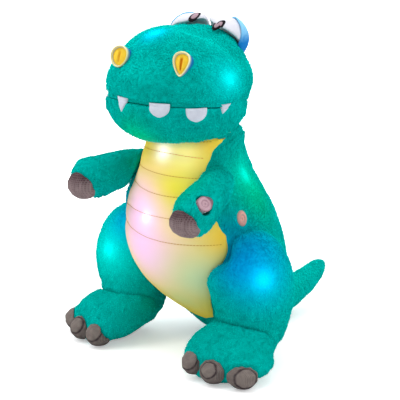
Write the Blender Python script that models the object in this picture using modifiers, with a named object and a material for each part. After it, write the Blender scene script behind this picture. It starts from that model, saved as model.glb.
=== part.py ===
# Plush night light: a sitting stuffed dinosaur, lit from inside by seven small lamps.
# Origin at the middle of the flat seat, +Z up, the face looks along -Y, its left is +X.
import math

import bmesh
import bpy
from mathutils import Matrix, Vector

# Clearances shared by all pieces
GAP = 0.0003
FORM_GAP = 0.0004
OVERRUN = 0.004
WELD = 0.00001
SOFT_LEVELS = 1
BODY_SIDES = 16
LIMB_SIDES = 10
SMALL_SIDES = 10

# Torso: share of height, of width, of depth, forward share of depth, tilt share of height
TORSO_HEIGHT = 0.268
TORSO_WIDTH = 0.183
TORSO_DEPTH = 0.183
SEAT_CUT = 0.0005
TORSO_SHARES = (
    (0.000, 0.00, 0.00, 0.000, 0.0),
    (0.000, 0.30, 0.28, 0.000, 0.0),
    (0.050, 0.52, 0.42, -0.010, 0.0),
    (0.125, 0.76, 0.56, 0.030, 0.0),
    (0.210, 0.90, 0.75, 0.115, 0.0),
    (0.310, 0.97, 0.91, 0.205, 0.0),
    (0.445, 1.01, 1.01, 0.275, 0.0),
    (0.610, 0.935, 0.94, 0.330, 0.0),
    (0.765, 0.735, 0.735, 0.368, 0.0),
    (0.895, 0.60, 0.60, 0.375, 0.0),
    (0.985, 0.56, 0.56, 0.380, 0.0),
    (1.000, 0.00, 0.00, 0.380, 0.0),
)

# Head above the mouth seam
HEAD_WIDTH = 0.166
HEAD_DEPTH = 0.167
HEAD_HEIGHT = 0.0865
HEAD_RISE = 0.0235
HEAD_TURN = math.radians(9.5)
HEAD_SHARES = (
    (0.00, 0.00, 0.00, 0.56, 0.10),
    (0.00, 0.80, 0.80, 0.56, 0.10),
    (0.07, 0.96, 0.96, 0.56, 0.09),
    (0.25, 1.00, 1.00, 0.56, 0.06),
    (0.47, 0.98, 0.93, 0.530, 0.03),
    (0.69, 0.835, 0.745, 0.500, 0.0),
    (0.88, 0.61, 0.57, 0.495, 0.0),
    (0.985, 0.30, 0.30, 0.49, 0.0),
    (1.00, 0.00, 0.00, 0.49, 0.0),
)

# Lower jaw under the mouth seam
JAW_WIDTH = 0.163
JAW_DEPTH = 0.162
JAW_HEIGHT = 0.056
JAW_DROP = 0.019
JAW_SHARES = (
    (0.00, 0.00, 0.00, 0.60, 0.0),
    (0.00, 0.42, 0.44, 0.60, 0.0),
    (0.14, 0.72, 0.74, 0.60, 0.0),
    (0.42, 0.92, 0.93, 0.595, 0.0),
    (0.74, 1.00, 1.00, 0.59, 0.0),
    (0.97, 0.92, 0.93, 0.585, 0.0),
    (1.00, 0.00, 0.00, 0.585, 0.0),
)

# Belly panel, a skin sewn over the torso's front
PANEL_THICK = 0.0012
PANEL_BOTTOM = 0.028
PANEL_TOP = 0.252
PANEL_BACK = 0.045
# Outline: share of its height, share of the torso's width
PANEL_SHARES = (
    (0.00, 0.00), (0.03, 0.20), (0.10, 0.36), (0.22, 0.55), (0.38, 0.71),
    (0.52, 0.75), (0.66, 0.67), (0.80, 0.55), (0.92, 0.48), (1.00, 0.46),
)

# Thighs and feet
THIGH_WIDTH = 0.100
THIGH_DEPTH = 0.100
THIGH_HEIGHT = 0.144
THIGH_OUT = 0.092
THIGH_AHEAD = 0.074
THIGH_LIFT = 0.012
THIGH_SHARES = (
    (0.00, 0.00, 0.00, 0.72, 0.0),
    (0.01, 0.46, 0.46, 0.72, 0.0),
    (0.12, 0.70, 0.70, 0.72, 0.0),
    (0.34, 0.90, 0.90, 0.73, 0.0),
    (0.60, 1.00, 1.00, 0.74, 0.0),
    (0.83, 0.80, 0.80, 0.74, 0.0),
    (0.98, 0.38, 0.38, 0.74, 0.0),
    (1.00, 0.00, 0.00, 0.74, 0.0),
)
FOOT_LENGTH = 0.103
FOOT_WIDTH = 0.101
FOOT_HEIGHT = 0.068
# Each foot's outward turn, and its heel's place
FOOT_TURNS = {"left": math.radians(11), "right": math.radians(19)}
FOOT_HEELS = {"left": (0.086, 0.056), "right": (0.072, 0.052)}
# Foot from toe to heel: share of length, of width, of height
FOOT_SHARES = (
    (0.00, 0.00, 0.34),
    (0.015, 0.76, 0.50),
    (0.13, 0.98, 0.68),
    (0.42, 1.00, 0.92),
    (0.74, 0.80, 1.00),
    (0.96, 0.50, 0.72),
    (1.00, 0.00, 0.50),
)

# Claws at the front of each foot
CLAW_LENGTH = 0.034
CLAW_HEIGHT = 0.029
CLAW_LIFT = 0.0006
# Each claw: width, share of the foot's width to its side, share of the foot's length behind the toe
CLAWS = (
    ("inner", 0.030, -0.29, 0.080),
    ("middle", 0.034, 0.02, 0.030),
    ("outer", 0.035, 0.34, 0.110),
)

# Arms, from the shoulder seam to the wrist; the seam's height and its way forward as shares of the torso
ARM_WIDTH = 0.052
ARM_HEIGHT = 0.045
SHOULDER_SHARES = (0.7948, 0.394)
SHOULDER_SUNK = 0.0127
SHOULDER_BEHIND = 0.013
ARM_REACH = 0.096
ARM_SPREADS = {"left": 0.034, "right": 0.025}
ARM_DROPS = {"left": 0.026, "right": 0.011}
# Share of reach, of spread, of drop, of width, of height
ARM_SHARES = (
    (-0.06, -0.05, 0.00, 0.00, 0.00),
    (0.00, 0.00, 0.00, 0.62, 0.62),
    (0.20, 0.47, 0.12, 0.84, 0.86),
    (0.48, 0.80, 0.44, 0.96, 0.98),
    (0.78, 0.98, 0.80, 1.00, 1.00),
    (0.97, 1.00, 1.00, 0.80, 0.82),
    (1.03, 1.00, 1.05, 0.00, 0.00),
)
SHOULDER_SWING = math.radians(15)
SWING_STEPS = 3
PAW_WIDTH = 0.038
PAW_LENGTH = 0.040
PAW_HEIGHT = 0.034
PAW_BACK = 0.007
PAW_UNDER = 0.005

# Tail, from the rump to its tip
TAIL_LENGTH = 0.139
TAIL_WIDTH = 0.070
TAIL_HEIGHT = 0.064
TAIL_START = 0.028
# Share of length, height of the middle as share of length, share of width, share of height
TAIL_SHARES = (
    (-0.04, 0.245, 0.00, 0.00),
    (0.00, 0.245, 1.00, 1.00),
    (0.26, 0.195, 0.86, 0.80),
    (0.50, 0.18, 0.66, 0.60),
    (0.74, 0.255, 0.50, 0.46),
    (0.93, 0.350, 0.38, 0.38),
    (1.00, 0.390, 0.00, 0.00),
)
TAIL_SWING = math.radians(12)
TAIL_PIVOT = 0.036

# Eyes, lids and pupils on top of the head
EYE_WIDTH = 0.0545
EYE_DEPTH = 0.050
EYE_HEIGHT = 0.054
EYE_OUT = 0.0235
EYE_BACK = 0.038
EYE_PROUD = 0.003
EYE_SHARES = (
    (0.00, 0.00, 0.00, 0.0, 0.0),
    (0.06, 0.46, 0.46, 0.0, 0.0),
    (0.26, 0.86, 0.86, 0.0, 0.0),
    (0.52, 1.00, 1.00, 0.0, 0.0),
    (0.76, 0.86, 0.86, 0.0, 0.0),
    (0.95, 0.46, 0.46, 0.0, 0.0),
    (1.00, 0.00, 0.00, 0.0, 0.0),
)
LID_THICK = 0.0022
LID_BACK = 0.011
LID_TURN = math.radians(35)
PUPIL_WIDTH = 0.011
PUPIL_HEIGHT = 0.017
PUPIL_THICK = 0.0040
PUPIL_ROLL = math.radians(25)
# Each pupil's place on its eye as shares of the eye's half sizes, from its middle; both look to its left
PUPIL_SHARES = {"left": (0.15, -0.70, 0.70), "right": (-0.40, -0.30, 0.87)}

# Nostril cups, short oval tubes on the muzzle, and their linings
NOSTRIL_SPREAD = 0.0406
NOSTRIL_PROUD = 0.0123
NOSTRIL_UP_SHARE = 0.622
NOSTRIL_WIDTH = 0.021
NOSTRIL_HEIGHT = 0.028
NOSTRIL_DEPTH = 0.026
NOSTRIL_WALL = 0.0022
NOSTRIL_HOLLOW = 0.005
LINING_THICK = 0.0025
NOSTRIL_TURN = math.radians(10)
NOSTRIL_PITCH = math.radians(20)

# Teeth round the muzzle's edge: angle from the front, width, height
TOOTH_THICK = 0.0042
TOOTH_PROUD = 0.0012
TOOTH_TUCK = 0.004
TEETH = (
    ("left_1", 16, 0.0235, 0.0130),
    ("left_2", 49, 0.0230, 0.0125),
    ("left_3", 76, 0.0155, 0.0085),
    ("right_1", -16, 0.0235, 0.0130),
    ("right_2", -55, 0.0230, 0.0125),
    ("right_3", -80, 0.0155, 0.0085),
)
# Half of a tooth's outline: share of its half width, share of its height
TOOTH_SHARES = ((0.76, 0.50), (0.42, 0.88), (0.14, 1.00))

# Round spots: one over the push button on the left forearm, one on the left flank
SPOT_RADIUS = 0.0095
SPOT_THICK = 0.001
SPOT_FACE = 0.0212
SPOT_REACH_SHARE = 0.80
SPOT_RISE = math.radians(32)
BUTTON_TRAVEL = 0.0015
BUTTON_RADIUS = 0.005
BUTTON_HEIGHT = 0.0075
HOUSING_RADIUS = 0.0085
HOUSING_HEIGHT = 0.009
HOUSING_FLOOR = 0.001
# Flank spot: its middle as shares of the torso's width, depth and height, and its turn to the side
FLANK_SHARES = (0.450, 0.43, 0.625)
FLANK_TURN = math.radians(72)
FLANK_THICK = 0.006

# Zipper up the middle of the back; its middle's height as a share of the torso
ZIP_LENGTH = 0.064
ZIP_SUNK = 0.004
ZIP_UP_SHARE = 0.3993
ZIP_TILT = math.radians(9.5)
TAPE_WIDTH = 0.0135
TAPE_THICK = 0.0008
TOOTH_ROW = 0.0022
ROW_THICK = 0.002
ROW_CHANNEL = 0.0012
ROW_PITCH = 0.0034
PLATE_WIDTH = 0.0084
PLATE_THICK = 0.0011
SLIDER_LENGTH = 0.009
LUG_THICK = 0.001
LUG_DEEP = 0.0032
PIN_RADIUS = 0.0007
KNUCKLE_RADIUS = 0.0019
TAB_STEM = 0.0036
TAB_WIDTH = 0.009
TAB_LENGTH = 0.019
TAB_THICK = 0.001
ZIP_SLIT = 0.011
ZIP_REACH = 0.016

# Battery case in its pocket behind the zipper
CELL_RADIUS = 0.00525
CELL_LENGTH = 0.0445
CELL_NUB = 0.0008
CELL_NUB_RADIUS = 0.0019
CELL_AIR = 0.0003
CELL_COUNT = 3
CASE_WALL = 0.0015
CASE_END = 0.005
BOARD_BAY = 0.011
BOARD_LENGTH = 0.032
BOARD_THICK = 0.0012
BOSS_RADIUS = 0.003
SCREW_RADIUS = 0.0011
SCREW_HEAD = 0.0026
SCREW_HEAD_THICK = 0.001
CONTACT_THICK = 0.0004
CONTACT_BUMP = 0.002
CONTACT_STRIP = 0.0055
CASE_INSIDE = 0.0273
CASE_UNDER = 0.003
POCKET_ROOM = 0.010

# Lamp strings
LEAD_RADIUS = 0.0012
LAMP_RADIUS = 0.0032
LAMP_LENGTH = 0.009
LEAD_AIR = 0.0004
LEAD_STEPS = 3
# Each string: where it leaves the case as a share of its length, which points carry a lamp, and its way
ROUTE_SHARES = (
    ("lamp_string_head", -0.10, (5, 8), (
        ("torso", -0.02, 0.16, 0.72), ("torso", 0.0, 0.44, 0.81), ("torso", 0.0, 0.585, 0.865),
        ("torso", -0.015, 0.60, 0.975), ("head", -0.05, 0.62, 0.30), ("head", -0.085, 0.66, 0.72))),
    ("lamp_string_cheek", 0.17, (4, 8), (
        ("torso", 0.16, 0.13, 0.66), ("torso", 0.262, 0.20, 0.76), ("torso", 0.20, 0.31, 0.91),
        ("torso", 0.20, 0.36, 1.0), ("head", 0.30, 0.50, 0.12), ("head", 0.425, 0.55, 0.36))),
    ("lamp_string_belly", -0.31, (5,), (
        ("torso", -0.104, 0.20, 0.585), ("torso", -0.104, 0.48, 0.595), ("torso", -0.104, 0.66, 0.59))),
    ("lamp_string_left_leg", 0.41, (6,), (
        ("torso", 0.25, 0.06, 0.535), ("torso", 0.40, 0.26, 0.49),
        ("torso", 0.55, 0.42, 0.445), ("torso", 0.665, 0.52, 0.42))),
    ("lamp_string_right_leg", -0.45, (6,), (
        ("torso", -0.25, 0.06, 0.535), ("torso", -0.38, 0.26, 0.47),
        ("torso", -0.50, 0.42, 0.40), ("torso", -0.58, 0.51, 0.375))),
    ("button_lead_body", 0.29, (), (("torso", 0.17, 0.24, 0.69),)),
)
# How far along the arm its lead runs before it turns to the button
ARM_LEAD_SHARE = 0.42

COLOURS = {
    "teal_plush": (0.0, 0.38, 0.33),
    "yellow_plush": (0.88, 0.72, 0.22),
    "claw_velboa": (0.17, 0.13, 0.12),
    "white_felt": (0.86, 0.80, 0.86),
    "lid_cloth": (0.10, 0.45, 0.78),
    "cup_cloth": (0.08, 0.50, 0.62),
    "pupil_print": (0.03, 0.02, 0.03),
    "spot_cloth": (0.80, 0.45, 0.50),
    "zipper_tape": (0.0, 0.30, 0.27),
}
HARD_COLOURS = {
    "case_plastic": ((0.75, 0.76, 0.78), 0.45, 0.0),
    "board": ((0.05, 0.25, 0.10), 0.5, 0.0),
    "nickel": ((0.60, 0.60, 0.58), 0.35, 1.0),
    "cell_wrap": ((0.10, 0.12, 0.35), 0.4, 0.0),
    "lead_sleeve": ((0.85, 0.85, 0.85), 0.5, 0.0),
}


def collection(name):
    made = bpy.data.collections.new(name)
    bpy.context.scene.collection.children.link(made)
    return made


def material(name, colour, roughness, metallic=0.0):
    made = bpy.data.materials.new(name)
    made.use_nodes = True
    shader = made.node_tree.nodes["Principled BSDF"]
    shader.inputs["Base Color"].default_value = (*colour, 1.0)
    shader.inputs["Roughness"].default_value = roughness
    shader.inputs["Metallic"].default_value = metallic
    return made


for old in list(bpy.data.objects):
    bpy.data.objects.remove(old, do_unlink=True)
PARTS = collection("plush_night_light")
CUTTERS = collection("cutters")
CLOTH_ROUGHNESS = 0.95
SOFT = {name: material(name, colour, CLOTH_ROUGHNESS) for name, colour in COLOURS.items()}
HARD = {name: material(name, *look) for name, look in HARD_COLOURS.items()}


def put(name, mesh, finish, where=None):
    made = bpy.data.objects.new(name, mesh)
    (where or PARTS).objects.link(made)
    if where is CUTTERS:
        made.hide_render = True
        made.display_type = "WIRE"
    elif finish:
        mesh.materials.append(finish)
    return made


def stuffed_mesh(name, rings, sides):
    """A unit sphere cage whose rings are moved to the sections (centre, half_x, half_y)."""
    steps = len(rings) - 1
    shrink = (6 + 2 * math.cos(2 * math.pi / sides)) / 8
    cage = bmesh.new()
    bmesh.ops.create_uvsphere(cage, u_segments=sides, v_segments=steps, radius=1.0)
    for vert in cage.verts:
        index = round(math.acos(max(-1.0, min(1.0, -vert.co.z))) / math.pi * steps)
        angle = math.atan2(vert.co.y, vert.co.x)
        centre, half_x, half_y = rings[index]
        vert.co = centre + (half_x * math.cos(angle) + half_y * math.sin(angle)) / shrink
    bmesh.ops.recalc_face_normals(cage, faces=cage.faces)
    mesh = bpy.data.meshes.new(name)
    cage.to_mesh(mesh)
    cage.free()
    mesh.shade_smooth()
    return mesh


def soften(made):
    soft = made.modifiers.new("soft", "SUBSURF")
    soft.levels = SOFT_LEVELS
    soft.render_levels = SOFT_LEVELS
    facets = made.modifiers.new("facets", "TRIANGULATE")
    facets.quad_method = "FIXED"
    return made


def stuffed(name, rings, sides, finish):
    return soften(put(name, stuffed_mesh(name, rings, sides), finish))


def upright(rows, size, base, offset=(0, 0)):
    """Level rings from rows of shares; size is (width, depth, height)."""
    width, depth, height = size
    rings = []
    for rise, wide, deep, ahead, tilt in rows:
        centre = Vector((offset[0], offset[1] - ahead * depth, base + rise * height))
        half_y = Vector((0, deep * depth / 2, -tilt * height * deep))
        rings.append((centre, Vector((wide * width / 2, 0, 0)), half_y))
    return rings


def along(points, halves):
    """Rings square to a path; halves are (half width, half height) at each point."""
    rings = []
    last = len(points) - 1
    for i, (point, (wide, high)) in enumerate(zip(points, halves)):
        run = (points[min(i + 1, last)] - points[max(i - 1, 0)]).normalized()
        side = (Vector((1, 0, 0)) - run * run.x).normalized()
        rings.append((point, side * wide, run.cross(side) * high))
    return rings


def grown(source, gap, name, turn=None):
    """A cutter: the same form pushed out along its normals by the gap."""
    made = put(name, source.data, None, CUTTERS)
    made.matrix_world = (turn or Matrix.Identity(4)) @ source.matrix_basis
    if any(mod.type == "SUBSURF" for mod in source.modifiers):
        soften(made)
    push = made.modifiers.new("push", "DISPLACE")
    push.strength = gap
    push.mid_level = 0.0
    return made


def pivoted(made, pivot):
    """Move an object's origin onto its joint's axis."""
    made.data.transform(Matrix.Translation(-pivot))
    made.location = pivot
    return made


def cut(made, cutter, operation="DIFFERENCE"):
    step = made.modifiers.new(cutter.name, "BOOLEAN")
    step.operation = operation
    step.object = cutter
    return made


def block(name, low, high, where=None, finish=None):
    shape = bmesh.new()
    bmesh.ops.create_cube(shape, size=1.0)
    low, high = Vector(low), Vector(high)
    for vert in shape.verts:
        vert.co = Vector((low[i] + (vert.co[i] + 0.5) * (high[i] - low[i]) for i in range(3)))
    mesh = bpy.data.meshes.new(name)
    shape.to_mesh(mesh)
    shape.free()
    return put(name, mesh, finish, where or CUTTERS)


def turn_about(point, axis, angle):
    move = Matrix.Translation(point)
    return move @ Matrix.Rotation(angle, 4, axis) @ move.inverted()


def mirrored(rings):
    flip = Vector((-1, 1, 1))
    return [(c * flip, -(x * flip), y * flip) for c, x, y in rings]


def drum(name, radius, low, high, sides, where=None, finish=None):
    """A cylinder along its own Z from low to high."""
    shape = bmesh.new()
    bmesh.ops.create_cone(
        shape, cap_ends=True, segments=sides, radius1=radius, radius2=radius, depth=high - low)
    bmesh.ops.translate(shape, verts=shape.verts, vec=(0, 0, (low + high) / 2))
    mesh = bpy.data.meshes.new(name)
    shape.to_mesh(mesh)
    shape.free()
    return put(name, mesh, finish, where or CUTTERS)


def prism(name, outline, low, high, where=None, finish=None):
    """A flat outline in its own XY plane, drawn out along Z from low to high."""
    shape = bmesh.new()
    face = shape.faces.new([shape.verts.new((x, y, low)) for x, y in outline])
    grown_out = bmesh.ops.extrude_face_region(shape, geom=[face])
    rise = [item for item in grown_out["geom"] if isinstance(item, bmesh.types.BMVert)]
    bmesh.ops.translate(shape, verts=rise, vec=(0, 0, high - low))
    bmesh.ops.recalc_face_normals(shape, faces=shape.faces)
    mesh = bpy.data.meshes.new(name)
    shape.to_mesh(mesh)
    shape.free()
    return put(name, mesh, finish, where or CUTTERS)


def turned(name, profile, sides, finish):
    """A profile of (radius, height) from top to bottom, turned about Z."""
    mesh = bpy.data.meshes.new(name)
    points = [(radius, 0, height) for radius, height in profile]
    mesh.from_pydata(points, [(i, i + 1) for i in range(len(points) - 1)], [])
    made = put(name, mesh, finish)
    spin = made.modifiers.new("turn", "SCREW")
    spin.steps = sides
    spin.render_steps = sides
    spin.use_merge_vertices = True
    spin.merge_threshold = WELD
    return made


def placed(made, matrix):
    made.matrix_world = matrix
    return made


def smooth_path(points, steps):
    """Points on a Catmull-Rom curve through the given points."""
    ends = [points[0] * 2 - points[1], *points, points[-1] * 2 - points[-2]]
    path = []
    for a, b, c, d in zip(ends, ends[1:], ends[2:], ends[3:]):
        for step in range(steps):
            t = step / steps
            bend = (a * -1 + b * 3 - c * 3 + d) * t ** 3 + (a * 2 - b * 5 + c * 4 - d) * t ** 2
            path.append((bend + (c - a) * t) / 2 + b)
    return path + [points[-1]]


def tube(name, path, radii, finish, where=None):
    """A six-sided tube along a path, with its own radius at each point."""
    data = bpy.data.curves.new(name, "CURVE")
    data.dimensions = "3D"
    data.bevel_depth = 1.0
    data.bevel_resolution = 1
    data.use_fill_caps = True
    line = data.splines.new("POLY")
    line.points.add(len(path) - 1)
    for spot, place, radius in zip(line.points, path, radii):
        spot.co = (*place, 1.0)
        spot.radius = radius
    made = bpy.data.objects.new(name, data)
    (where or PARTS).objects.link(made)
    if finish:
        data.materials.append(finish)
    return made


def tube_cutter(name, path, radii):
    made = tube(name + "_line", path, radii, None, CUTTERS)
    bpy.context.view_layer.update()
    source = made.evaluated_get(bpy.context.evaluated_depsgraph_get())
    mesh = bpy.data.meshes.new_from_object(source)
    bpy.data.objects.remove(made, do_unlink=True)
    shape = bmesh.new()
    shape.from_mesh(mesh)
    bmesh.ops.remove_doubles(shape, verts=shape.verts, dist=WELD)
    bmesh.ops.recalc_face_normals(shape, faces=shape.faces)
    shape.to_mesh(mesh)
    shape.free()
    return put(name, mesh, None, CUTTERS)


def stretched(path, before, after):
    """The same path, run on straight at both ends."""
    first = path[0] + (path[0] - path[1]).normalized() * before
    last = path[-1] + (path[-1] - path[-2]).normalized() * after
    return [first, *path, last]


TORSO_SIZE = (TORSO_WIDTH, TORSO_DEPTH, TORSO_HEIGHT)
HEAD_SIZE = (HEAD_WIDTH, HEAD_DEPTH, HEAD_HEIGHT)
JAW_SIZE = (JAW_WIDTH, JAW_DEPTH, JAW_HEIGHT)
THIGH_SIZE = (THIGH_WIDTH, THIGH_DEPTH, THIGH_HEIGHT)
EYE_SIZE = (EYE_WIDTH, EYE_DEPTH, EYE_HEIGHT)
HEAD_BASE = TORSO_HEIGHT + HEAD_RISE
HEAD_TOP = HEAD_BASE + HEAD_HEIGHT
JAW_BASE = TORSO_HEIGHT - JAW_DROP
CUT_REACH = TORSO_HEIGHT
SIDES = {"left": 1, "right": -1}


def section(rows, rise):
    """Width, depth and forward shares of a stuffed form at a share of its height."""
    for low, high in zip(rows[1:], rows[2:]):
        if low[0] <= rise <= high[0]:
            t = (rise - low[0]) / (high[0] - low[0])
            return [a + (b - a) * t for a, b in zip(low[1:4], high[1:4])]
    return rows[-2][1:4]


def surface_at(rows, size, rise, forward):
    """Half width of a form's skin at a share of its height, forward of its middle by a share; and that y."""
    wide, deep, ahead = section(rows, rise)
    half_x, half_y = wide * size[0] / 2, deep * size[1] / 2
    return half_x * math.sqrt(1 - forward * forward), -ahead * size[1] - forward * half_y


shoulder_rise, shoulder_forward = SHOULDER_SHARES
shoulder_out, shoulder_y = surface_at(TORSO_SHARES, TORSO_SIZE, shoulder_rise, shoulder_forward)
seam = Vector((shoulder_out + FORM_GAP, shoulder_y, shoulder_rise * TORSO_HEIGHT))
NECK_AHEAD = HEAD_SHARES[3][3] * HEAD_DEPTH
MOUTH_SLOPE = HEAD_SHARES[1][4] * HEAD_HEIGHT / (HEAD_DEPTH / 2)
HEAD_FRAME = turn_about(Vector((0, -NECK_AHEAD, 0)), "Z", HEAD_TURN)
TEAL = SOFT["teal_plush"]


def in_torso(x, y, z):
    return Vector((x * TORSO_WIDTH, -y * TORSO_DEPTH, z * TORSO_HEIGHT))


def in_head(x, y, z):
    return HEAD_FRAME @ Vector((x * HEAD_WIDTH, -y * HEAD_DEPTH, HEAD_BASE + z * HEAD_HEIGHT))


def foot_frame(side):
    out, ahead = FOOT_HEELS[side]
    heel = Matrix.Translation(Vector((out, -ahead, 0)))
    return heel @ Matrix.Rotation(FOOT_TURNS[side], 4, "Z")


def foot_rings(side):
    frame = foot_frame(side)
    rings = []
    for run, wide, high in FOOT_SHARES:
        middle = high * FOOT_HEIGHT / 2
        centre = frame @ Vector((0, -FOOT_LENGTH * (1 - run), middle - SEAT_CUT))
        across = frame.to_3x3() @ Vector((wide * FOOT_WIDTH / 2, 0, 0))
        rings.append((centre, across, Vector((0, 0, -middle if wide else 0))))
    return rings


def arm_point(side, reach, spread, drop):
    return Vector((
        seam.x - SHOULDER_SUNK + spread * ARM_SPREADS[side],
        seam.y + SHOULDER_BEHIND - reach * ARM_REACH,
        seam.z - drop * ARM_DROPS[side],
    ))


def arm_rings(side):
    points = [arm_point(side, *row[:3]) for row in ARM_SHARES]
    halves = [(row[3] * ARM_WIDTH / 2, row[4] * ARM_HEIGHT / 2) for row in ARM_SHARES]
    return along(points, halves)


def sided(side, rings):
    return rings if side == "left" else mirrored(rings)


def on_side(side, point):
    return Vector((point.x * SIDES[side], point.y, point.z))


# Large stuffed forms: torso, head and lower jaw
floor_cut = block("floor_cut", (-CUT_REACH, -CUT_REACH, -CUT_REACH), (CUT_REACH, CUT_REACH, 0))
torso = stuffed("torso", upright(TORSO_SHARES, TORSO_SIZE, -SEAT_CUT), BODY_SIDES, TEAL)
cut(torso, floor_cut)
head = stuffed("head", upright(HEAD_SHARES, HEAD_SIZE, HEAD_BASE), BODY_SIDES, TEAL)
jaw = stuffed("lower_jaw", upright(JAW_SHARES, JAW_SIZE, JAW_BASE), BODY_SIDES, TEAL)
placed(head, HEAD_FRAME)
placed(jaw, HEAD_FRAME)
torso_grown = grown(torso, FORM_GAP, "torso_grown")
head_grown = grown(head, FORM_GAP, "head_grown")
jaw_grown = grown(jaw, FORM_GAP, "jaw_grown")
cut(jaw, torso_grown)
cut(jaw, head_grown)

# Legs: thighs, feet and claws
thighs, thigh_grown = {}, {}
for side in SIDES:
    rings = upright(THIGH_SHARES, THIGH_SIZE, THIGH_LIFT, (THIGH_OUT, 0))
    thigh = stuffed("thigh_" + side, sided(side, rings), LIMB_SIDES, TEAL)
    cut(thigh, torso_grown)
    thighs[side] = thigh
    thigh_grown[side] = grown(thigh, FORM_GAP, "thigh_grown_" + side)
    foot = stuffed("foot_" + side, sided(side, foot_rings(side)), LIMB_SIDES, TEAL)
    cut(foot, floor_cut)
    cut(foot, thigh_grown[side])
    cut(foot, torso_grown)
    foot_grown = grown(foot, FORM_GAP, "foot_grown_" + side)
    for claw_name, claw_width, claw_side, claw_behind in CLAWS:
        place = foot_frame(side) @ Vector((
            claw_side * FOOT_WIDTH,
            -FOOT_LENGTH * (1 - claw_behind),
            CLAW_LIFT + CLAW_HEIGHT / 2,
        ))
        shape = bmesh.new()
        half = (claw_width / 2, CLAW_LENGTH / 2, CLAW_HEIGHT / 2)
        bmesh.ops.create_uvsphere(shape, u_segments=SMALL_SIDES, v_segments=SMALL_SIDES // 2, radius=1.0)
        bmesh.ops.scale(shape, verts=shape.verts, vec=half)
        mesh = bpy.data.meshes.new("claw")
        shape.to_mesh(mesh)
        shape.free()
        mesh.shade_smooth()
        claw = put(f"claw_{side}_{claw_name}", mesh, SOFT["claw_velboa"])
        turn = Matrix.Rotation(FOOT_TURNS[side] * SIDES[side], 4, "Z")
        placed(claw, Matrix.Translation(on_side(side, place)) @ turn)
        cut(claw, foot_grown)

# Arms, paws, and the cuts that let each arm swing clear of the torso
arms, arm_forms = {}, {}
for side in SIDES:
    pivot = on_side(side, seam)
    arm = stuffed("arm_" + side, sided(side, arm_rings(side)), LIMB_SIDES, TEAL)
    pivoted(arm, pivot)
    arms[side] = arm
    arm_forms[side] = []
    for step in range(SWING_STEPS + 1):
        angle = SHOULDER_SWING * (2 * step / SWING_STEPS - 1)
        turn = turn_about(seam, "X", angle)
        cut(arm, grown(torso, FORM_GAP, f"torso_swing_{side}_{step}", turn))
        arm_forms[side].append(grown(arm, FORM_GAP, f"arm_swing_{side}_{step}", turn))
    wrist = arm_point(side, 1, 1, 1)
    centre = on_side(side, wrist + Vector((0, PAW_BACK, -PAW_UNDER)))
    shape = bmesh.new()
    bmesh.ops.create_uvsphere(shape, u_segments=SMALL_SIDES, v_segments=SMALL_SIDES // 2 + 2, radius=1.0)
    bmesh.ops.scale(shape, verts=shape.verts, vec=(PAW_WIDTH / 2, PAW_LENGTH / 2, PAW_HEIGHT / 2))
    mesh = bpy.data.meshes.new("paw")
    shape.to_mesh(mesh)
    shape.free()
    mesh.shade_smooth()
    paw = put("paw_" + side, mesh, SOFT["claw_velboa"])
    placed(paw, Matrix.Translation(centre))
    cut(paw, grown(arm, FORM_GAP, "arm_grown_" + side))

# Tail, cut so that it swings clear of the rump
tail_rings = along(
    [Vector((0, TAIL_START + row[0] * TAIL_LENGTH, row[1] * TAIL_LENGTH)) for row in TAIL_SHARES],
    [(row[2] * TAIL_WIDTH / 2, row[3] * TAIL_HEIGHT / 2) for row in TAIL_SHARES],
)
tail_root = Vector((0, TAIL_PIVOT, 0))
tail = pivoted(stuffed("tail", tail_rings, LIMB_SIDES, TEAL), tail_root)
cut(tail, floor_cut)
for side, sign in SIDES.items():
    turn = turn_about(tail_root, "Z", TAIL_SWING * sign)
    cut(tail, grown(torso, FORM_GAP, "torso_tail_" + side, turn))

# Belly panel: the torso's own form, thicker by the cloth, kept inside the panel's outline
panel = put("belly_panel", torso.data.copy(), None)
panel.data.materials.clear()
panel.data.materials.append(SOFT["yellow_plush"])
soften(panel)
thicken = panel.modifiers.new("thicken", "DISPLACE")
thicken.strength = FORM_GAP + PANEL_THICK
thicken.mid_level = 0.0
edge = [
    Vector((wide * TORSO_WIDTH / 2, PANEL_BOTTOM + rise * (PANEL_TOP - PANEL_BOTTOM), 0))
    for rise, wide in PANEL_SHARES
]
right_edge = [(point.x, point.y) for point in smooth_path(edge, 2)]
left_edge = [(-x, y) for x, y in reversed(right_edge[1:])]
outline = prism("panel_outline", right_edge + left_edge, PANEL_BACK, CUT_REACH)
placed(outline, Matrix.Rotation(math.pi / 2, 4, "X"))
cut(panel, outline, "INTERSECT")
cut(panel, torso_grown)
cut(panel, jaw_grown)
for side in SIDES:
    cut(panel, thigh_grown[side])
    for form in arm_forms[side]:
        cut(panel, form)

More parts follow.
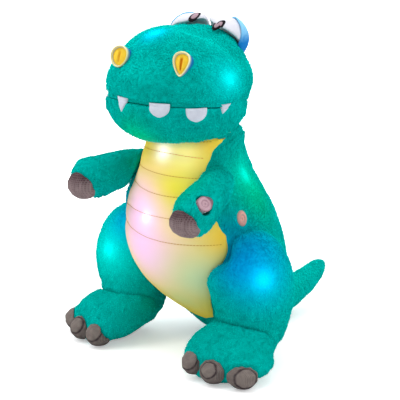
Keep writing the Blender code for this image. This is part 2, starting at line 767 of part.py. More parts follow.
# Eyes, lids and pupils
for side in SIDES:
    middle = Vector((EYE_OUT, -EYE_BACK, HEAD_TOP + EYE_PROUD - EYE_HEIGHT / 2))
    rings = upright(EYE_SHARES, EYE_SIZE, middle.z - EYE_HEIGHT / 2, (middle.x, middle.y))
    eye = stuffed("eye_" + side, sided(side, rings), LIMB_SIDES, SOFT["white_felt"])
    placed(eye, HEAD_FRAME)
    cut(eye, head_grown)
    past, seam_at = -CUT_REACH * SIDES[side], GAP / 2 * SIDES[side]
    half = block(
        "eye_seam_" + side,
        (min(past, seam_at), -CUT_REACH, 0), (max(past, seam_at), CUT_REACH, HEAD_TOP + EYE_HEIGHT))
    placed(half, HEAD_FRAME)
    cut(eye, half)
    eye_grown = grown(eye, FORM_GAP, "eye_grown_" + side)
    lid = put("eyelid_" + side, eye.data.copy(), None)
    lid.data.materials.clear()
    lid.data.materials.append(SOFT["lid_cloth"])
    placed(lid, HEAD_FRAME)
    soften(lid)
    hood = lid.modifiers.new("hood", "DISPLACE")
    hood.strength = FORM_GAP + LID_THICK
    hood.mid_level = 0.0
    cut(lid, eye_grown)
    cut(lid, head_grown)
    front = block("lid_front_" + side, (-CUT_REACH, -CUT_REACH, -CUT_REACH), (CUT_REACH, LID_BACK, CUT_REACH))
    turn = Matrix.Rotation(-LID_TURN * SIDES[side], 4, "Z")
    placed(front, HEAD_FRAME @ Matrix.Translation(on_side(side, middle)) @ turn)
    cut(lid, front)
    cut(lid, half)
    shares = PUPIL_SHARES[side]
    out = Vector(share * size / 2 for share, size in zip(shares, EYE_SIZE))
    facing = Vector(share / (size / 2) for share, size in zip(shares, EYE_SIZE)).normalized()
    shape = bmesh.new()
    bmesh.ops.create_uvsphere(shape, u_segments=SMALL_SIDES, v_segments=SMALL_SIDES // 2, radius=1.0)
    bmesh.ops.scale(shape, verts=shape.verts, vec=(PUPIL_WIDTH / 2, PUPIL_HEIGHT / 2, PUPIL_THICK / 2))
    mesh = bpy.data.meshes.new("pupil")
    shape.to_mesh(mesh)
    shape.free()
    pupil = put("pupil_" + side, mesh, SOFT["pupil_print"])
    look = on_side(side, facing).to_track_quat("Z", "Y").to_matrix().to_4x4()
    roll = Matrix.Rotation(PUPIL_ROLL, 4, "Z")
    placed(pupil, HEAD_FRAME @ Matrix.Translation(on_side(side, middle + out)) @ look @ roll)
    cut(pupil, eye_grown)
    cut(pupil, head_grown)

# Nostril cups and linings
head_wide, head_deep, head_ahead = section(HEAD_SHARES, NOSTRIL_UP_SHARE)
spread_share = NOSTRIL_SPREAD / (head_wide * HEAD_WIDTH / 2)
muzzle_y = -head_ahead * HEAD_DEPTH - head_deep * HEAD_DEPTH / 2 * math.sqrt(1 - spread_share ** 2)
for side in SIDES:
    place = Vector((
        NOSTRIL_SPREAD, muzzle_y - NOSTRIL_PROUD, HEAD_BASE + NOSTRIL_UP_SHARE * HEAD_HEIGHT))
    aim = Matrix.Rotation(math.pi / 2 - NOSTRIL_PITCH, 4, "X")
    turn = Matrix.Rotation(NOSTRIL_TURN * SIDES[side], 4, "Z")
    frame = HEAD_FRAME @ Matrix.Translation(on_side(side, place)) @ turn @ aim
    oval = Matrix.Diagonal((NOSTRIL_WIDTH / NOSTRIL_HEIGHT, 1, 1, 1))
    outer, inner = NOSTRIL_HEIGHT / 2, NOSTRIL_HEIGHT / 2 - NOSTRIL_WALL
    cup = drum("nostril_cup_" + side, outer, -NOSTRIL_DEPTH, 0, BODY_SIDES, PARTS, SOFT["cup_cloth"])
    cup.data.transform(oval)
    placed(cup, frame)
    hollow = drum("nostril_hollow_" + side, inner, -NOSTRIL_HOLLOW, OVERRUN, BODY_SIDES)
    hollow.data.transform(oval)
    cut(cup, placed(hollow, frame))
    cut(cup, head_grown)
    floor = -NOSTRIL_HOLLOW + GAP
    lining = drum(
        "nostril_lining_" + side, inner - GAP, floor, floor + LINING_THICK,
        BODY_SIDES, PARTS, SOFT["yellow_plush"])
    lining.data.transform(oval)
    placed(lining, frame)
    cut(lining, head_grown)

# Teeth hang from the muzzle's edge against the jaw
for name, angle, wide, high in TEETH:
    face_angle = math.radians(angle)
    half = wide / 2
    edge = [(half, TOOTH_TUCK), (half, 0)] + [(half * x, -high * y) for x, y in TOOTH_SHARES]
    outline = edge + [(-x, y) for x, y in reversed(edge)]
    tooth = prism("tooth_" + name, outline, -TOOTH_THICK, 0, PARTS, SOFT["white_felt"])
    reach = JAW_WIDTH / 2 + TOOTH_PROUD
    stand = Matrix.Rotation(face_angle, 4, "Z") @ Matrix.Translation((0, -reach, 0))
    hang = HEAD_BASE + MOUTH_SLOPE * reach * math.cos(face_angle)
    seat = Matrix.Translation((0, -JAW_SHARES[4][3] * JAW_DEPTH, hang))
    placed(tooth, HEAD_FRAME @ seat @ stand @ Matrix.Rotation(math.pi / 2, 4, "X"))
    cut(tooth, jaw_grown)
    cut(tooth, head_grown)


def arm_middle(side, reach):
    """The arm's middle line and its rough direction at a share of the reach."""
    rows = ARM_SHARES
    for low, high in zip(rows, rows[1:]):
        if low[0] <= reach <= high[0]:
            t = (reach - low[0]) / (high[0] - low[0])
            start, end = arm_point(side, *low[:3]), arm_point(side, *high[:3])
            return start.lerp(end, t), (end - start).normalized()
    return arm_point(side, *rows[-1][:3]), Vector((0, -1, 0))


# Push button in the left forearm, under its round spot
spot_middle, arm_run = arm_middle("left", SPOT_REACH_SHARE)
arm_side = (Vector((1, 0, 0)) - arm_run * arm_run.x).normalized()
spot_out = arm_side * math.cos(SPOT_RISE) + arm_run.cross(arm_side) * math.sin(SPOT_RISE)
spot_frame = Matrix.Translation(spot_middle) @ spot_out.to_track_quat("Z", "Y").to_matrix().to_4x4()
recess_floor = SPOT_FACE - SPOT_THICK - BUTTON_TRAVEL - GAP
housing_top = recess_floor - GAP
housing_low = housing_top - HOUSING_HEIGHT
cap_top = SPOT_FACE - SPOT_THICK - GAP

recess = drum("spot_recess", SPOT_RADIUS + FORM_GAP, recess_floor, SPOT_FACE + OVERRUN, BODY_SIDES)
socket = drum("housing_socket", HOUSING_RADIUS + FORM_GAP, housing_low - GAP, SPOT_FACE, BODY_SIDES)
for tool in (recess, socket):
    cut(arms["left"], placed(tool, spot_frame))
housing = drum(
    "button_housing", HOUSING_RADIUS, housing_low, housing_top, BODY_SIDES, PARTS, HARD["case_plastic"])
bore = drum("button_bore", BUTTON_RADIUS + GAP, housing_low + HOUSING_FLOOR, SPOT_FACE, BODY_SIDES)
cut(placed(housing, spot_frame), placed(bore, spot_frame))
cap = drum("button_cap", BUTTON_RADIUS, cap_top - BUTTON_HEIGHT, cap_top, BODY_SIDES, PARTS, HARD["case_plastic"])
placed(cap, spot_frame)
spot = drum(
    "arm_spot", SPOT_RADIUS, SPOT_FACE - SPOT_THICK, SPOT_FACE, BODY_SIDES, PARTS, SOFT["spot_cloth"])
placed(spot, spot_frame)

# Round spot sewn on the left flank, a plug whose outer face follows the torso
flank_place = in_torso(*FLANK_SHARES)
flank_out = Vector((math.sin(FLANK_TURN), -math.cos(FLANK_TURN), 0))
flank_frame = Matrix.Translation(flank_place) @ flank_out.to_track_quat("Z", "Y").to_matrix().to_4x4()
flank = put("flank_spot", torso.data.copy(), None)
flank.data.materials.clear()
flank.data.materials.append(SOFT["spot_cloth"])
soften(flank)
thicken = flank.modifiers.new("thicken", "DISPLACE")
thicken.strength = FORM_GAP + SPOT_THICK
thicken.mid_level = 0.0
cut(flank, placed(drum("flank_disc", SPOT_RADIUS, -FLANK_THICK, FLANK_THICK, BODY_SIDES), flank_frame), "INTERSECT")
cut(flank, torso_grown)
cut(flank, thigh_grown["left"])

# Zipper: a shallow trough in the back, its slit, two tapes with teeth, the slider and its tab
zip_y = surface_at(TORSO_SHARES, TORSO_SIZE, ZIP_UP_SHARE, -1)[1] - ZIP_SUNK
zip_z = ZIP_UP_SHARE * TORSO_HEIGHT
zip_frame = Matrix.Translation(Vector((0, zip_y, zip_z))) @ Matrix.Rotation(ZIP_TILT, 4, "X")
trough_half = ROW_CHANNEL / 2 + TAPE_WIDTH + GAP
trough_floor = -TAPE_THICK / 2 - GAP
half_zip = ZIP_LENGTH / 2
trough = block(
    "trough", (-trough_half, trough_floor, -half_zip - 2 * GAP),
    (trough_half, CUT_REACH / 2, half_zip + 2 * GAP))
slit = block(
    "slit", (-ZIP_SLIT / 2, -ZIP_REACH, -half_zip - GAP), (ZIP_SLIT / 2, OVERRUN, half_zip + GAP))
cut(torso, placed(trough, zip_frame))
cut(torso, placed(slit, zip_frame))
row_count = int(ZIP_LENGTH / ROW_PITCH)
tooth_inner = ROW_CHANNEL / 2
tooth_outer = tooth_inner + TOOTH_ROW
for side, sign in SIDES.items():
    comb = [(tooth_outer, -half_zip)]
    comb.append((tooth_outer, half_zip))
    top = row_count * ROW_PITCH / 2
    for index in range(row_count):
        high = top - index * ROW_PITCH
        low = high - ROW_PITCH / 2
        root = tooth_inner + TOOTH_ROW / 2
        comb += [(root, high), (tooth_inner, high), (tooth_inner, low), (root, low)]
    comb = [(x * sign, z) for x, z in comb]
    tape = block(
        "zipper_half_" + side,
        (min(sign * (tooth_outer - GAP), sign * (tooth_inner + TAPE_WIDTH)), -TAPE_THICK / 2, -half_zip),
        (max(sign * (tooth_outer - GAP), sign * (tooth_inner + TAPE_WIDTH)), TAPE_THICK / 2, half_zip),
        PARTS, SOFT["zipper_tape"])
    row = prism("zipper_row_" + side, comb, -ROW_THICK / 2, ROW_THICK / 2)
    placed(tape, zip_frame)
    placed(row, zip_frame @ Matrix.Rotation(math.pi / 2, 4, "X"))
    cut(tape, row, "UNION")

slide_start = half_zip - SLIDER_LENGTH
plate_low = ROW_THICK / 2 + GAP
plate_high = plate_low + PLATE_THICK
lip_low = TAPE_THICK / 2 + GAP
lip_inner = tooth_outer + GAP
web = ROW_CHANNEL / 2 - GAP
half_plate = PLATE_WIDTH / 2
quarter = [
    (half_plate, plate_high), (half_plate, lip_low), (lip_inner, lip_low), (lip_inner, plate_low), (web, plate_low)]
section = quarter + [(x, -y) for x, y in reversed(quarter)]
section += [(-x, -y) for x, y in quarter] + [(-x, y) for x, y in reversed(quarter)]
slider = prism("zipper_slider", section, -SLIDER_LENGTH / 2, SLIDER_LENGTH / 2, PARTS, HARD["nickel"])
slider_frame = zip_frame @ Matrix.Translation((0, 0, slide_start))
placed(slider, slider_frame)
pin_out = plate_high + GAP + KNUCKLE_RADIUS
lug_inner = TAB_STEM / 2 + GAP
for sign in SIDES.values():
    lug = block(
        f"lug_{sign}",
        (min(sign * lug_inner, sign * (lug_inner + LUG_THICK)), plate_low + PLATE_THICK / 2, -LUG_DEEP / 2),
        (max(sign * lug_inner, sign * (lug_inner + LUG_THICK)), pin_out + KNUCKLE_RADIUS / 2, LUG_DEEP / 2))
    cut(slider, placed(lug, slider_frame), "UNION")
pin = drum("tab_pin", PIN_RADIUS, -lug_inner - LUG_THICK / 2, lug_inner + LUG_THICK / 2, SMALL_SIDES)
tab_frame = slider_frame @ Matrix.Translation((0, pin_out, 0))
cross = Matrix.Rotation(math.pi / 2, 4, "Y")
cut(slider, placed(pin, tab_frame @ cross), "UNION")
tab = drum("pull_tab", KNUCKLE_RADIUS, -TAB_STEM / 2, TAB_STEM / 2, BODY_SIDES, PARTS, HARD["nickel"])
placed(tab, tab_frame @ cross)
stem_low = -TAB_LENGTH
stem = block(
    "tab_stem", (-TAB_STEM / 2, -TAB_THICK / 2, -SLIDER_LENGTH), (TAB_STEM / 2, TAB_THICK / 2, -PIN_RADIUS))
grip = block(
    "tab_grip", (-TAB_WIDTH / 2, -TAB_THICK / 2, stem_low), (TAB_WIDTH / 2, TAB_THICK / 2, TAB_THICK - SLIDER_LENGTH))
eye_hole = drum("tab_hole", PIN_RADIUS + GAP, -TAB_STEM, TAB_STEM, SMALL_SIDES)
cut(tab, placed(stem, tab_frame), "UNION")
cut(tab, placed(grip, tab_frame), "UNION")
cut(tab, placed(eye_hole, tab_frame @ cross))

# Battery case, cells, contacts and board, in a pocket that the slit opens
cell_pitch = 2 * CELL_RADIUS + CELL_AIR
bay_long = CELL_LENGTH + 2 * CASE_END
bay_deep = 2 * CELL_RADIUS + 2 * CELL_AIR
bay_high = CELL_COUNT * cell_pitch + CELL_AIR + BOARD_BAY
case_long = bay_long + 2 * CASE_WALL
case_deep = bay_deep + 2 * CASE_WALL
case_high = bay_high + 2 * CASE_WALL
case_y, case_z = zip_y - CASE_INSIDE, zip_z - CASE_UNDER
case_frame = Matrix.Translation(Vector((0, case_y, case_z)))


def centred(name, size, middle, where=None, finish=None):
    low = [m - s / 2 for m, s in zip(middle, size)]
    high = [m + s / 2 for m, s in zip(middle, size)]
    return placed(block(name, low, high, where, finish), case_frame)


pocket = block(
    "pocket",
    (-case_long / 2 - GAP, -case_deep / 2 - GAP, -case_high / 2 - GAP),
    (case_long / 2 + GAP, case_deep / 2 + POCKET_ROOM, case_high / 2 + GAP))
cut(torso, placed(pocket, case_frame))
case = centred("battery_case", (case_long, case_deep, case_high), (0, 0, 0), PARTS, HARD["case_plastic"])
cut(case, centred("case_bay", (bay_long, case_deep, bay_high), (0, CASE_WALL, 0)))
lid_thick = CASE_WALL - GAP
lid_size = (bay_long - 2 * GAP, lid_thick, bay_high - 2 * GAP)
lid_middle = (0, case_deep / 2 - lid_thick / 2, 0)
lid = centred("battery_lid", lid_size, lid_middle, PARTS, HARD["case_plastic"])
board_z = bay_high / 2 - BOARD_BAY / 2
boss_x = bay_long / 2 - BOARD_BAY
boss_low = -case_deep / 2 + CASE_WALL / 2
boss_high = case_deep / 2 - CASE_WALL - GAP
screw_axis = case_frame @ Matrix.Translation((boss_x, 0, board_z)) @ Matrix.Rotation(-math.pi / 2, 4, "X")
boss = drum("case_boss", BOSS_RADIUS, boss_low, boss_high, SMALL_SIDES)
cut(case, placed(boss, screw_axis), "UNION")
screw_hole = drum("screw_hole", SCREW_RADIUS + GAP, boss_low + CASE_WALL, case_deep, SMALL_SIDES)
cut(case, placed(screw_hole, screw_axis))
cut(lid, screw_hole)
head_high = case_deep / 2 + GAP + SCREW_HEAD_THICK
screw = turned("lid_screw", [
    (0, head_high), (SCREW_HEAD, head_high), (SCREW_HEAD, head_high - SCREW_HEAD_THICK),
    (SCREW_RADIUS, head_high - SCREW_HEAD_THICK), (SCREW_RADIUS, boss_low + CASE_WALL + GAP),
    (0, boss_low + CASE_WALL + GAP),
], SMALL_SIDES, HARD["nickel"])
placed(screw, screw_axis)

first_cell = -bay_high / 2 + CELL_AIR + CELL_RADIUS
cell_rows = [first_cell + index * cell_pitch for index in range(CELL_COUNT)]
half_cell = CELL_LENGTH / 2
for index, cell_z in enumerate(cell_rows):
    cell = turned(f"cell_{index + 1}", [
        (0, half_cell), (CELL_NUB_RADIUS, half_cell), (CELL_NUB_RADIUS, half_cell - CELL_NUB),
        (CELL_RADIUS, half_cell - CELL_NUB), (CELL_RADIUS, -half_cell), (0, -half_cell),
    ], SMALL_SIDES, HARD["cell_wrap"])
    way = 1 if index % 2 else -1
    spin = Matrix.Rotation(way * math.pi / 2, 4, "Y")
    placed(cell, case_frame @ Matrix.Translation((0, 0, cell_z)) @ spin)
contact_high = cell_rows[-1] - cell_rows[0] + CONTACT_STRIP
contact_middle = (cell_rows[-1] + cell_rows[0]) / 2
for side, sign in SIDES.items():
    plate_x = sign * (bay_long / 2 - GAP - CONTACT_THICK / 2)
    contact = centred(
        "contact_" + side, (CONTACT_THICK, CONTACT_STRIP, contact_high), (plate_x, 0, contact_middle),
        PARTS, HARD["nickel"])
    for index, cell_z in enumerate(cell_rows):
        bump = drum(
            f"bump_{side}_{index}", CONTACT_BUMP, half_cell + GAP, abs(plate_x), SMALL_SIDES)
        spin = Matrix.Rotation(sign * math.pi / 2, 4, "Y")
        cut(contact, placed(bump, case_frame @ Matrix.Translation((0, 0, cell_z)) @ spin), "UNION")
board_x = -bay_long / 2 + GAP + BOARD_LENGTH / 2
board_y = -bay_deep / 2 + GAP + BOARD_THICK / 2
board = centred(
    "control_board", (BOARD_LENGTH, BOARD_THICK, BOARD_BAY - CELL_AIR - 2 * GAP), (board_x, board_y, board_z),
    PARTS, HARD["board"])

# Lamp strings and the button's leads, each in its own channel through the stuffing
case_top = case_z + case_high / 2


def from_case(x_share):
    """Where a lead leaves the case's top, and two points straight above it."""
    exit_point = Vector((x_share * case_long, case_y, case_top + GAP))
    return [exit_point + Vector((0, 0, rise)) for rise in (0, 2 * LEAD_RADIUS, LAMP_LENGTH)]


def on_arm(reach, out=0.0):
    return arm_middle("left", reach)[0] + spot_out * out


PLACES = {"torso": in_torso, "head": in_head}
seam_run = Vector((LAMP_LENGTH, 0, 0))
ROUTES = {
    name: (from_case(start) + [PLACES[host](*shares) for host, *shares in rows], lamps)
    for name, start, lamps, rows in ROUTE_SHARES
}
near_seam = Vector((2 * LEAD_RADIUS, 0, 0))
ROUTES["button_lead_body"][0].extend([seam - seam_run * 2, seam - near_seam, seam - Vector((GAP / 2, 0, 0))])
housing_side = (housing_low + housing_top) / 2
ROUTES["button_lead_arm"] = ([
    seam + Vector((GAP / 2, 0, 0)), seam + near_seam, seam + seam_run, on_arm(ARM_LEAD_SHARE),
    *(on_arm(SPOT_REACH_SHARE, housing_side) - arm_run * (HOUSING_RADIUS + away)
      for away in (LAMP_LENGTH, 2 * LEAD_RADIUS, 2 * GAP)),
], ())
HOSTS = {
    "lamp_string_head": (torso, jaw, head),
    "lamp_string_cheek": (torso, jaw, head),
    "lamp_string_belly": (torso,),
    "lamp_string_left_leg": (torso, thighs["left"]),
    "lamp_string_right_leg": (torso, thighs["right"]),
    "button_lead_body": (torso,),
    "button_lead_arm": (arms["left"],),
}
for name, (route, lamps) in ROUTES.items():
    path = smooth_path(route, LEAD_STEPS)
    run = [0.0]
    for a, b in zip(path, path[1:]):
        run.append(run[-1] + (b - a).length)
    places = [run[index * LEAD_STEPS] for index in lamps]
    centres = [min(place, run[-1] - LAMP_LENGTH / 2) for place in places]
    lamp_points = sorted(c + d for c in centres for d in (
        -LAMP_LENGTH / 2, -LAMP_LENGTH / 2 + LEAD_RADIUS, LAMP_LENGTH / 2 - LEAD_RADIUS, LAMP_LENGTH / 2))

    def at(length):
        for i in range(1, len(run)):
            if length <= run[i] or i == len(run) - 1:
                t = (length - run[i - 1]) / (run[i] - run[i - 1])
                return path[i - 1].lerp(path[i], t)

    def inside_lamp(length):
        return any(abs(length - c) < LAMP_LENGTH / 2 + LEAD_RADIUS / 2 for c in centres)

    stops = sorted([length for length in run if not inside_lamp(length)] + lamp_points)
    points = [at(length) for length in stops]
    radii = [
        LAMP_RADIUS if any(abs(length - c) < LAMP_LENGTH / 2 - LEAD_RADIUS / 2 for c in centres) else LEAD_RADIUS
        for length in stops]
    tube(name, points, radii, HARD["lead_sleeve"])
    channel = tube_cutter(
        name + "_channel", stretched(points, LAMP_LENGTH / 2, LEAD_AIR),
        [radius + LEAD_AIR for radius in [radii[0], *radii, radii[-1]]])
    for host in HOSTS[name]:
        cut(host, channel)
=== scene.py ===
# Looks of the plush night light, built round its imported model.
import math

import bmesh
import bpy
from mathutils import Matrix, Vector, noise
from mathutils.bvhtree import BVHTree


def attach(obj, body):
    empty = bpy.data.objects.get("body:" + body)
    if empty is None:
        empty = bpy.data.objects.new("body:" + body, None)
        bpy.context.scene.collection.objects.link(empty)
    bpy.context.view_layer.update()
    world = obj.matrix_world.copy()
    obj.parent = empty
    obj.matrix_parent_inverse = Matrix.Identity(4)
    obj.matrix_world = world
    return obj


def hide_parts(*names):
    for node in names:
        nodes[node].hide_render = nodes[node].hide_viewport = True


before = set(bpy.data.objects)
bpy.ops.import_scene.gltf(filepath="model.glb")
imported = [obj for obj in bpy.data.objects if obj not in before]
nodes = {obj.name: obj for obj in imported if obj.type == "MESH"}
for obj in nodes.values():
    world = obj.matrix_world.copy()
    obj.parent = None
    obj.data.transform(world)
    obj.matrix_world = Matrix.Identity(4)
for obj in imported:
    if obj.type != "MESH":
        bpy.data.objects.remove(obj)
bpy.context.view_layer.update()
scene = bpy.context.scene
print("frame loaded,", len(nodes), "nodes")

# Camera as in the photograph; angles in degrees, lengths in metres, lens in millimetres
cameraView = {
    "turn": 43.0,
    "rise": 14.5825,
    "distance": 2.18885,
    "aim": (-0.015495, -0.04445, 0.1650988),
    "lens": 171.0,
}
# Each soft box: turn and rise of its direction, distance, size, power
softBoxes = {
    "keyBox": (-38, 42, 1.6, 1.1, 11.5),
    "fillBox": (112, 34, 1.8, 1.4, 10.5),
    "topBox": (40, 88, 1.5, 1.2, 8.5),
    "backBox": (215, 40, 1.8, 1.2, 8.0),
}
# The floor's lift is the light that only the camera sees on it, near the toy and far from it
room = {
    "ambient": 0.66, "backdrop": 1.0, "floorSize": 8.0, "floorLevel": -0.0004, "floorGrey": 0.93,
    "nearLift": 0.4, "farLift": 1.0, "nearReach": 0.25, "farReach": 0.75,
}


def linear(red, green, blue):
    # a screen colour from 0 to 255 as the linear values that shaders take
    def one(value):
        share = value / 255
        return share / 12.92 if share <= 0.04045 else ((share + 0.055) / 1.055) ** 2.4
    return (one(red), one(green), one(blue))


def linked(name, data):
    made = bpy.data.objects.new(name, data)
    scene.collection.objects.link(made)
    return made


def aimed(name, data, turn, rise, distance):
    # a camera or light at its distance from the point that all look at
    a, e = math.radians(turn), math.radians(rise)
    out = Vector((math.sin(a) * math.cos(e), -math.cos(a) * math.cos(e), math.sin(e)))
    made = linked(name, data)
    made.location = Vector(cameraView["aim"]) + out * distance
    made.rotation_euler = (-out).to_track_quat("-Z", "Y").to_euler()
    return made


def makeCamera():
    data = bpy.data.cameras.new("photoCamera")
    data.lens = cameraView["lens"]
    data.sensor_width = 36.0
    scene.camera = aimed(
        "photoCamera", data, cameraView["turn"], cameraView["rise"], cameraView["distance"])


def makeLights():
    for name, (turn, rise, distance, size, power) in softBoxes.items():
        data = bpy.data.lights.new(name, "AREA")
        data.size = size
        data.energy = power
        aimed(name, data, turn, rise, distance)


# Nodes: inputs are given by name or number, each a value or another node's socket

def feed(tree, socket, value):
    if isinstance(value, bpy.types.NodeSocket):
        tree.links.new(value, socket)
    elif socket.type == "RGBA":
        socket.default_value = (*value, 1)
    else:
        socket.default_value = value


def addNode(tree, kind, given=None, **settings):
    made = tree.nodes.new(kind)
    for key, value in settings.items():
        setattr(made, key, value)
    for key, value in (given or {}).items():
        feed(tree, made.inputs[key], value)
    return made


def mathOf(tree, operation, *values):
    return addNode(tree, "ShaderNodeMath", dict(enumerate(values)), operation=operation).outputs[0]


def vectorOf(tree, operation, first, second=None, scale=None):
    slots = {0: first, 1: second, 3: scale}
    given = {slot: value for slot, value in slots.items() if value is not None}
    made = addNode(tree, "ShaderNodeVectorMath", given, operation=operation)
    return made.outputs["Value" if operation in ("DOT_PRODUCT", "LENGTH", "DISTANCE") else "Vector"]


def objectPlace(tree):
    return addNode(tree, "ShaderNodeTexCoord").outputs["Object"]


def stored(tree, name):
    return addNode(tree, "ShaderNodeAttribute", attribute_name=name).outputs["Fac"]


def mixColour(tree, factor, first, second):
    return addNode(tree, "ShaderNodeMix", {0: factor, 6: first, 7: second}, data_type="RGBA").outputs[2]


def noiseAt(tree, place, scale, detail):
    return addNode(tree, "ShaderNodeTexNoise", {"Vector": place, "Scale": scale, "Detail": detail}).outputs


def newTree(name, kind, inputs, outputs):
    # inputs and outputs: names and their socket kinds
    tree = bpy.data.node_groups.new(name, kind)
    for way, rows in (("INPUT", inputs), ("OUTPUT", outputs)):
        for label, socket in rows.items():
            tree.interface.new_socket(name=label, in_out=way, socket_type="NodeSocket" + socket)
    return tree, addNode(tree, "NodeGroupInput").outputs, addNode(tree, "NodeGroupOutput").inputs


def makeWorld():
    # the camera and mirrors see the white backdrop, all else is lit by the softer ambient light
    scene.world = bpy.data.worlds.new("studio")
    scene.world.use_nodes = True
    tree = scene.world.node_tree
    tree.nodes.clear()
    path = addNode(tree, "ShaderNodeLightPath").outputs
    seen = mathOf(tree, "MAXIMUM", path["Is Camera Ray"], path["Is Glossy Ray"])
    seen = mathOf(tree, "MAXIMUM", seen, path["Is Transmission Ray"])
    ambient, backdrop = (
        addNode(tree, "ShaderNodeBackground", {"Color": colour, "Strength": room[name]}).outputs[0]
        for name, colour in (("ambient", (0.96, 0.98, 1.0)), ("backdrop", (1, 1, 1))))
    mix = addNode(tree, "ShaderNodeMixShader", {0: seen, 1: ambient, 2: backdrop})
    addNode(tree, "ShaderNodeOutputWorld", {"Surface": mix.outputs[0]})


def makeFloor():
    half, level, grey = room["floorSize"] / 2, room["floorLevel"], room["floorGrey"]
    mesh = bpy.data.meshes.new("floor")
    corners = [(-half, -half), (half, -half), (half, half), (-half, half)]
    mesh.from_pydata([(x, y, level) for x, y in corners], [], [(0, 1, 2, 3)])
    made = linked("floor", mesh)
    finish = bpy.data.materials.new("paleFloor")
    finish.use_nodes = True
    tree = finish.node_tree
    spread = addNode(tree, "ShaderNodeMapRange", {
        "Value": vectorOf(tree, "LENGTH", objectPlace(tree)),
        "From Min": room["nearReach"], "From Max": room["farReach"],
        "To Min": room["nearLift"], "To Max": room["farLift"]}, interpolation_type="SMOOTHSTEP")
    seen = addNode(tree, "ShaderNodeLightPath").outputs["Is Camera Ray"]
    lift = mathOf(tree, "MULTIPLY", seen, spread.outputs["Result"])
    shader = tree.nodes["Principled BSDF"]
    for label, value in (
            ("Base Color", (grey, grey, grey)), ("Roughness", 0.9), ("Emission Color", (1, 1, 1)),
            ("Emission Strength", lift)):
        feed(tree, shader.inputs[label], value)
    mesh.materials.append(finish)


scene.view_settings.view_transform = "Standard"
makeCamera()
makeLights()
makeWorld()
makeFloor()
print("camera, lights and floor placed")


# Shader groups shared by the cloths. Shares of hair and tip in the pile's colour and height, and of
# mottle and threads in felt and woven cloth
pileShares = {"hairColour": 0.45, "tipColour": 0.75, "hairHeight": 0.5}
fibreShares = {"mottle": 0.6, "threads": 0.4, "distortion": 1.2, "roughRise": 0.15, "roughLow": 0.78}
fibreInputs = {
    "Colour": "Color", "Shade Colour": "Color", "Thread Size": "Float", "Mottle Size": "Float",
    "Mottle": "Float",
}
tintInputs = {
    "Place": "Vector", "Reach": "Float", "Tint": "Color", "Amount": "Float", "Base": "Color",
}


def makePileGroup():
    tree, given, out = newTree("pileTone", "ShaderNodeTree", {
        "Tip Colour": "Color", "Shaded Root Colour": "Color", "Patch Size": "Float",
        "Patch Amount": "Float", "Hair Size": "Float"}, {"Colour": "Color", "Height": "Float"})
    tip = stored(tree, "pileTip")
    hair = noiseAt(tree, objectPlace(tree), given["Hair Size"], 3.0)["Fac"]
    patch = noiseAt(tree, objectPlace(tree), given["Patch Size"], 4.0)["Fac"]
    # painted shade: the pile runs from the darker root colour, at its roots and on the cloth under it, to the
    # lighter tip colour
    grade = mathOf(tree, "MULTIPLY", tip, pileShares["tipColour"])
    grade = mathOf(tree, "MULTIPLY_ADD", hair, pileShares["hairColour"], grade)
    colour = mixColour(tree, grade, given["Shaded Root Colour"], given["Tip Colour"])
    dull = mathOf(tree, "SUBTRACT", patch, 0.5)
    dull = mathOf(tree, "MULTIPLY_ADD", dull, given["Patch Amount"], 1.0)
    dull = mathOf(tree, "ADD", dull, stored(tree, "tuftTone"))
    feed(tree, out["Colour"], vectorOf(tree, "SCALE", colour, scale=dull))
    feed(tree, out["Height"], mathOf(tree, "MULTIPLY_ADD", hair, pileShares["hairHeight"], tip))
    return tree


def fallOff(tree, given):
    # 1 at the lamp, falling smoothly with distance from it
    away = vectorOf(tree, "DISTANCE", objectPlace(tree), given["Place"])
    share = mathOf(tree, "DIVIDE", away, given["Reach"])
    square = mathOf(tree, "MULTIPLY", share, share)
    return mathOf(tree, "EXPONENT", mathOf(tree, "MULTIPLY", square, -1.0))


def makeGlowGroup():
    tree, given, out = newTree(
        "lampGlow", "ShaderNodeTree",
        {"Carry": "Color", "Place": "Vector", "Reach": "Float", "Colour": "Color"}, {"Colour": "Color"})
    light = vectorOf(tree, "SCALE", given["Colour"], scale=fallOff(tree, given))
    feed(tree, out["Colour"], vectorOf(tree, "ADD", given["Carry"], light))
    return tree


def makeTintGroup():
    tree, given, out = newTree("lampTint", "ShaderNodeTree", tintInputs, {"Colour": "Color"})
    amount = mathOf(tree, "MULTIPLY", fallOff(tree, given), given["Amount"])
    feed(tree, out["Colour"], mixColour(tree, amount, given["Base"], given["Tint"]))
    return tree


def makeFibreGroup():
    # felt, embroidery and woven cloth: fine crossed threads over a softer mottle
    tree, given, out = newTree(
        "fibreTone", "ShaderNodeTree", fibreInputs,
        {"Colour": "Color", "Height": "Float", "Roughness": "Float"})
    wave = {
        "Vector": objectPlace(tree), "Scale": given["Thread Size"],
        "Distortion": fibreShares["distortion"], "Detail": 1.0}
    bands = [
        addNode(tree, "ShaderNodeTexWave", wave, bands_direction=way).outputs["Fac"] for way in ("X", "Z")]
    threads = mathOf(tree, "MULTIPLY", mathOf(tree, "MAXIMUM", *bands), fibreShares["threads"])
    mottle = noiseAt(tree, objectPlace(tree), given["Mottle Size"], 4.0)["Fac"]
    height = mathOf(tree, "MULTIPLY_ADD", mottle, fibreShares["mottle"], threads)
    dark = mathOf(tree, "MULTIPLY", mathOf(tree, "SUBTRACT", 1.0, height), given["Mottle"])
    dark = mathOf(tree, "MINIMUM", mathOf(tree, "ADD", dark, stored(tree, "shadeMask")), 1.0)
    rough = mathOf(tree, "MULTIPLY_ADD", height, fibreShares["roughRise"], fibreShares["roughLow"])
    feed(tree, out["Colour"], mixColour(tree, dark, given["Colour"], given["Shade Colour"]))
    feed(tree, out["Height"], height)
    feed(tree, out["Roughness"], rough)
    return tree


pileTone = makePileGroup()
lampGlow = makeGlowGroup()
lampTint = makeTintGroup()
fibreTone = makeFibreGroup()

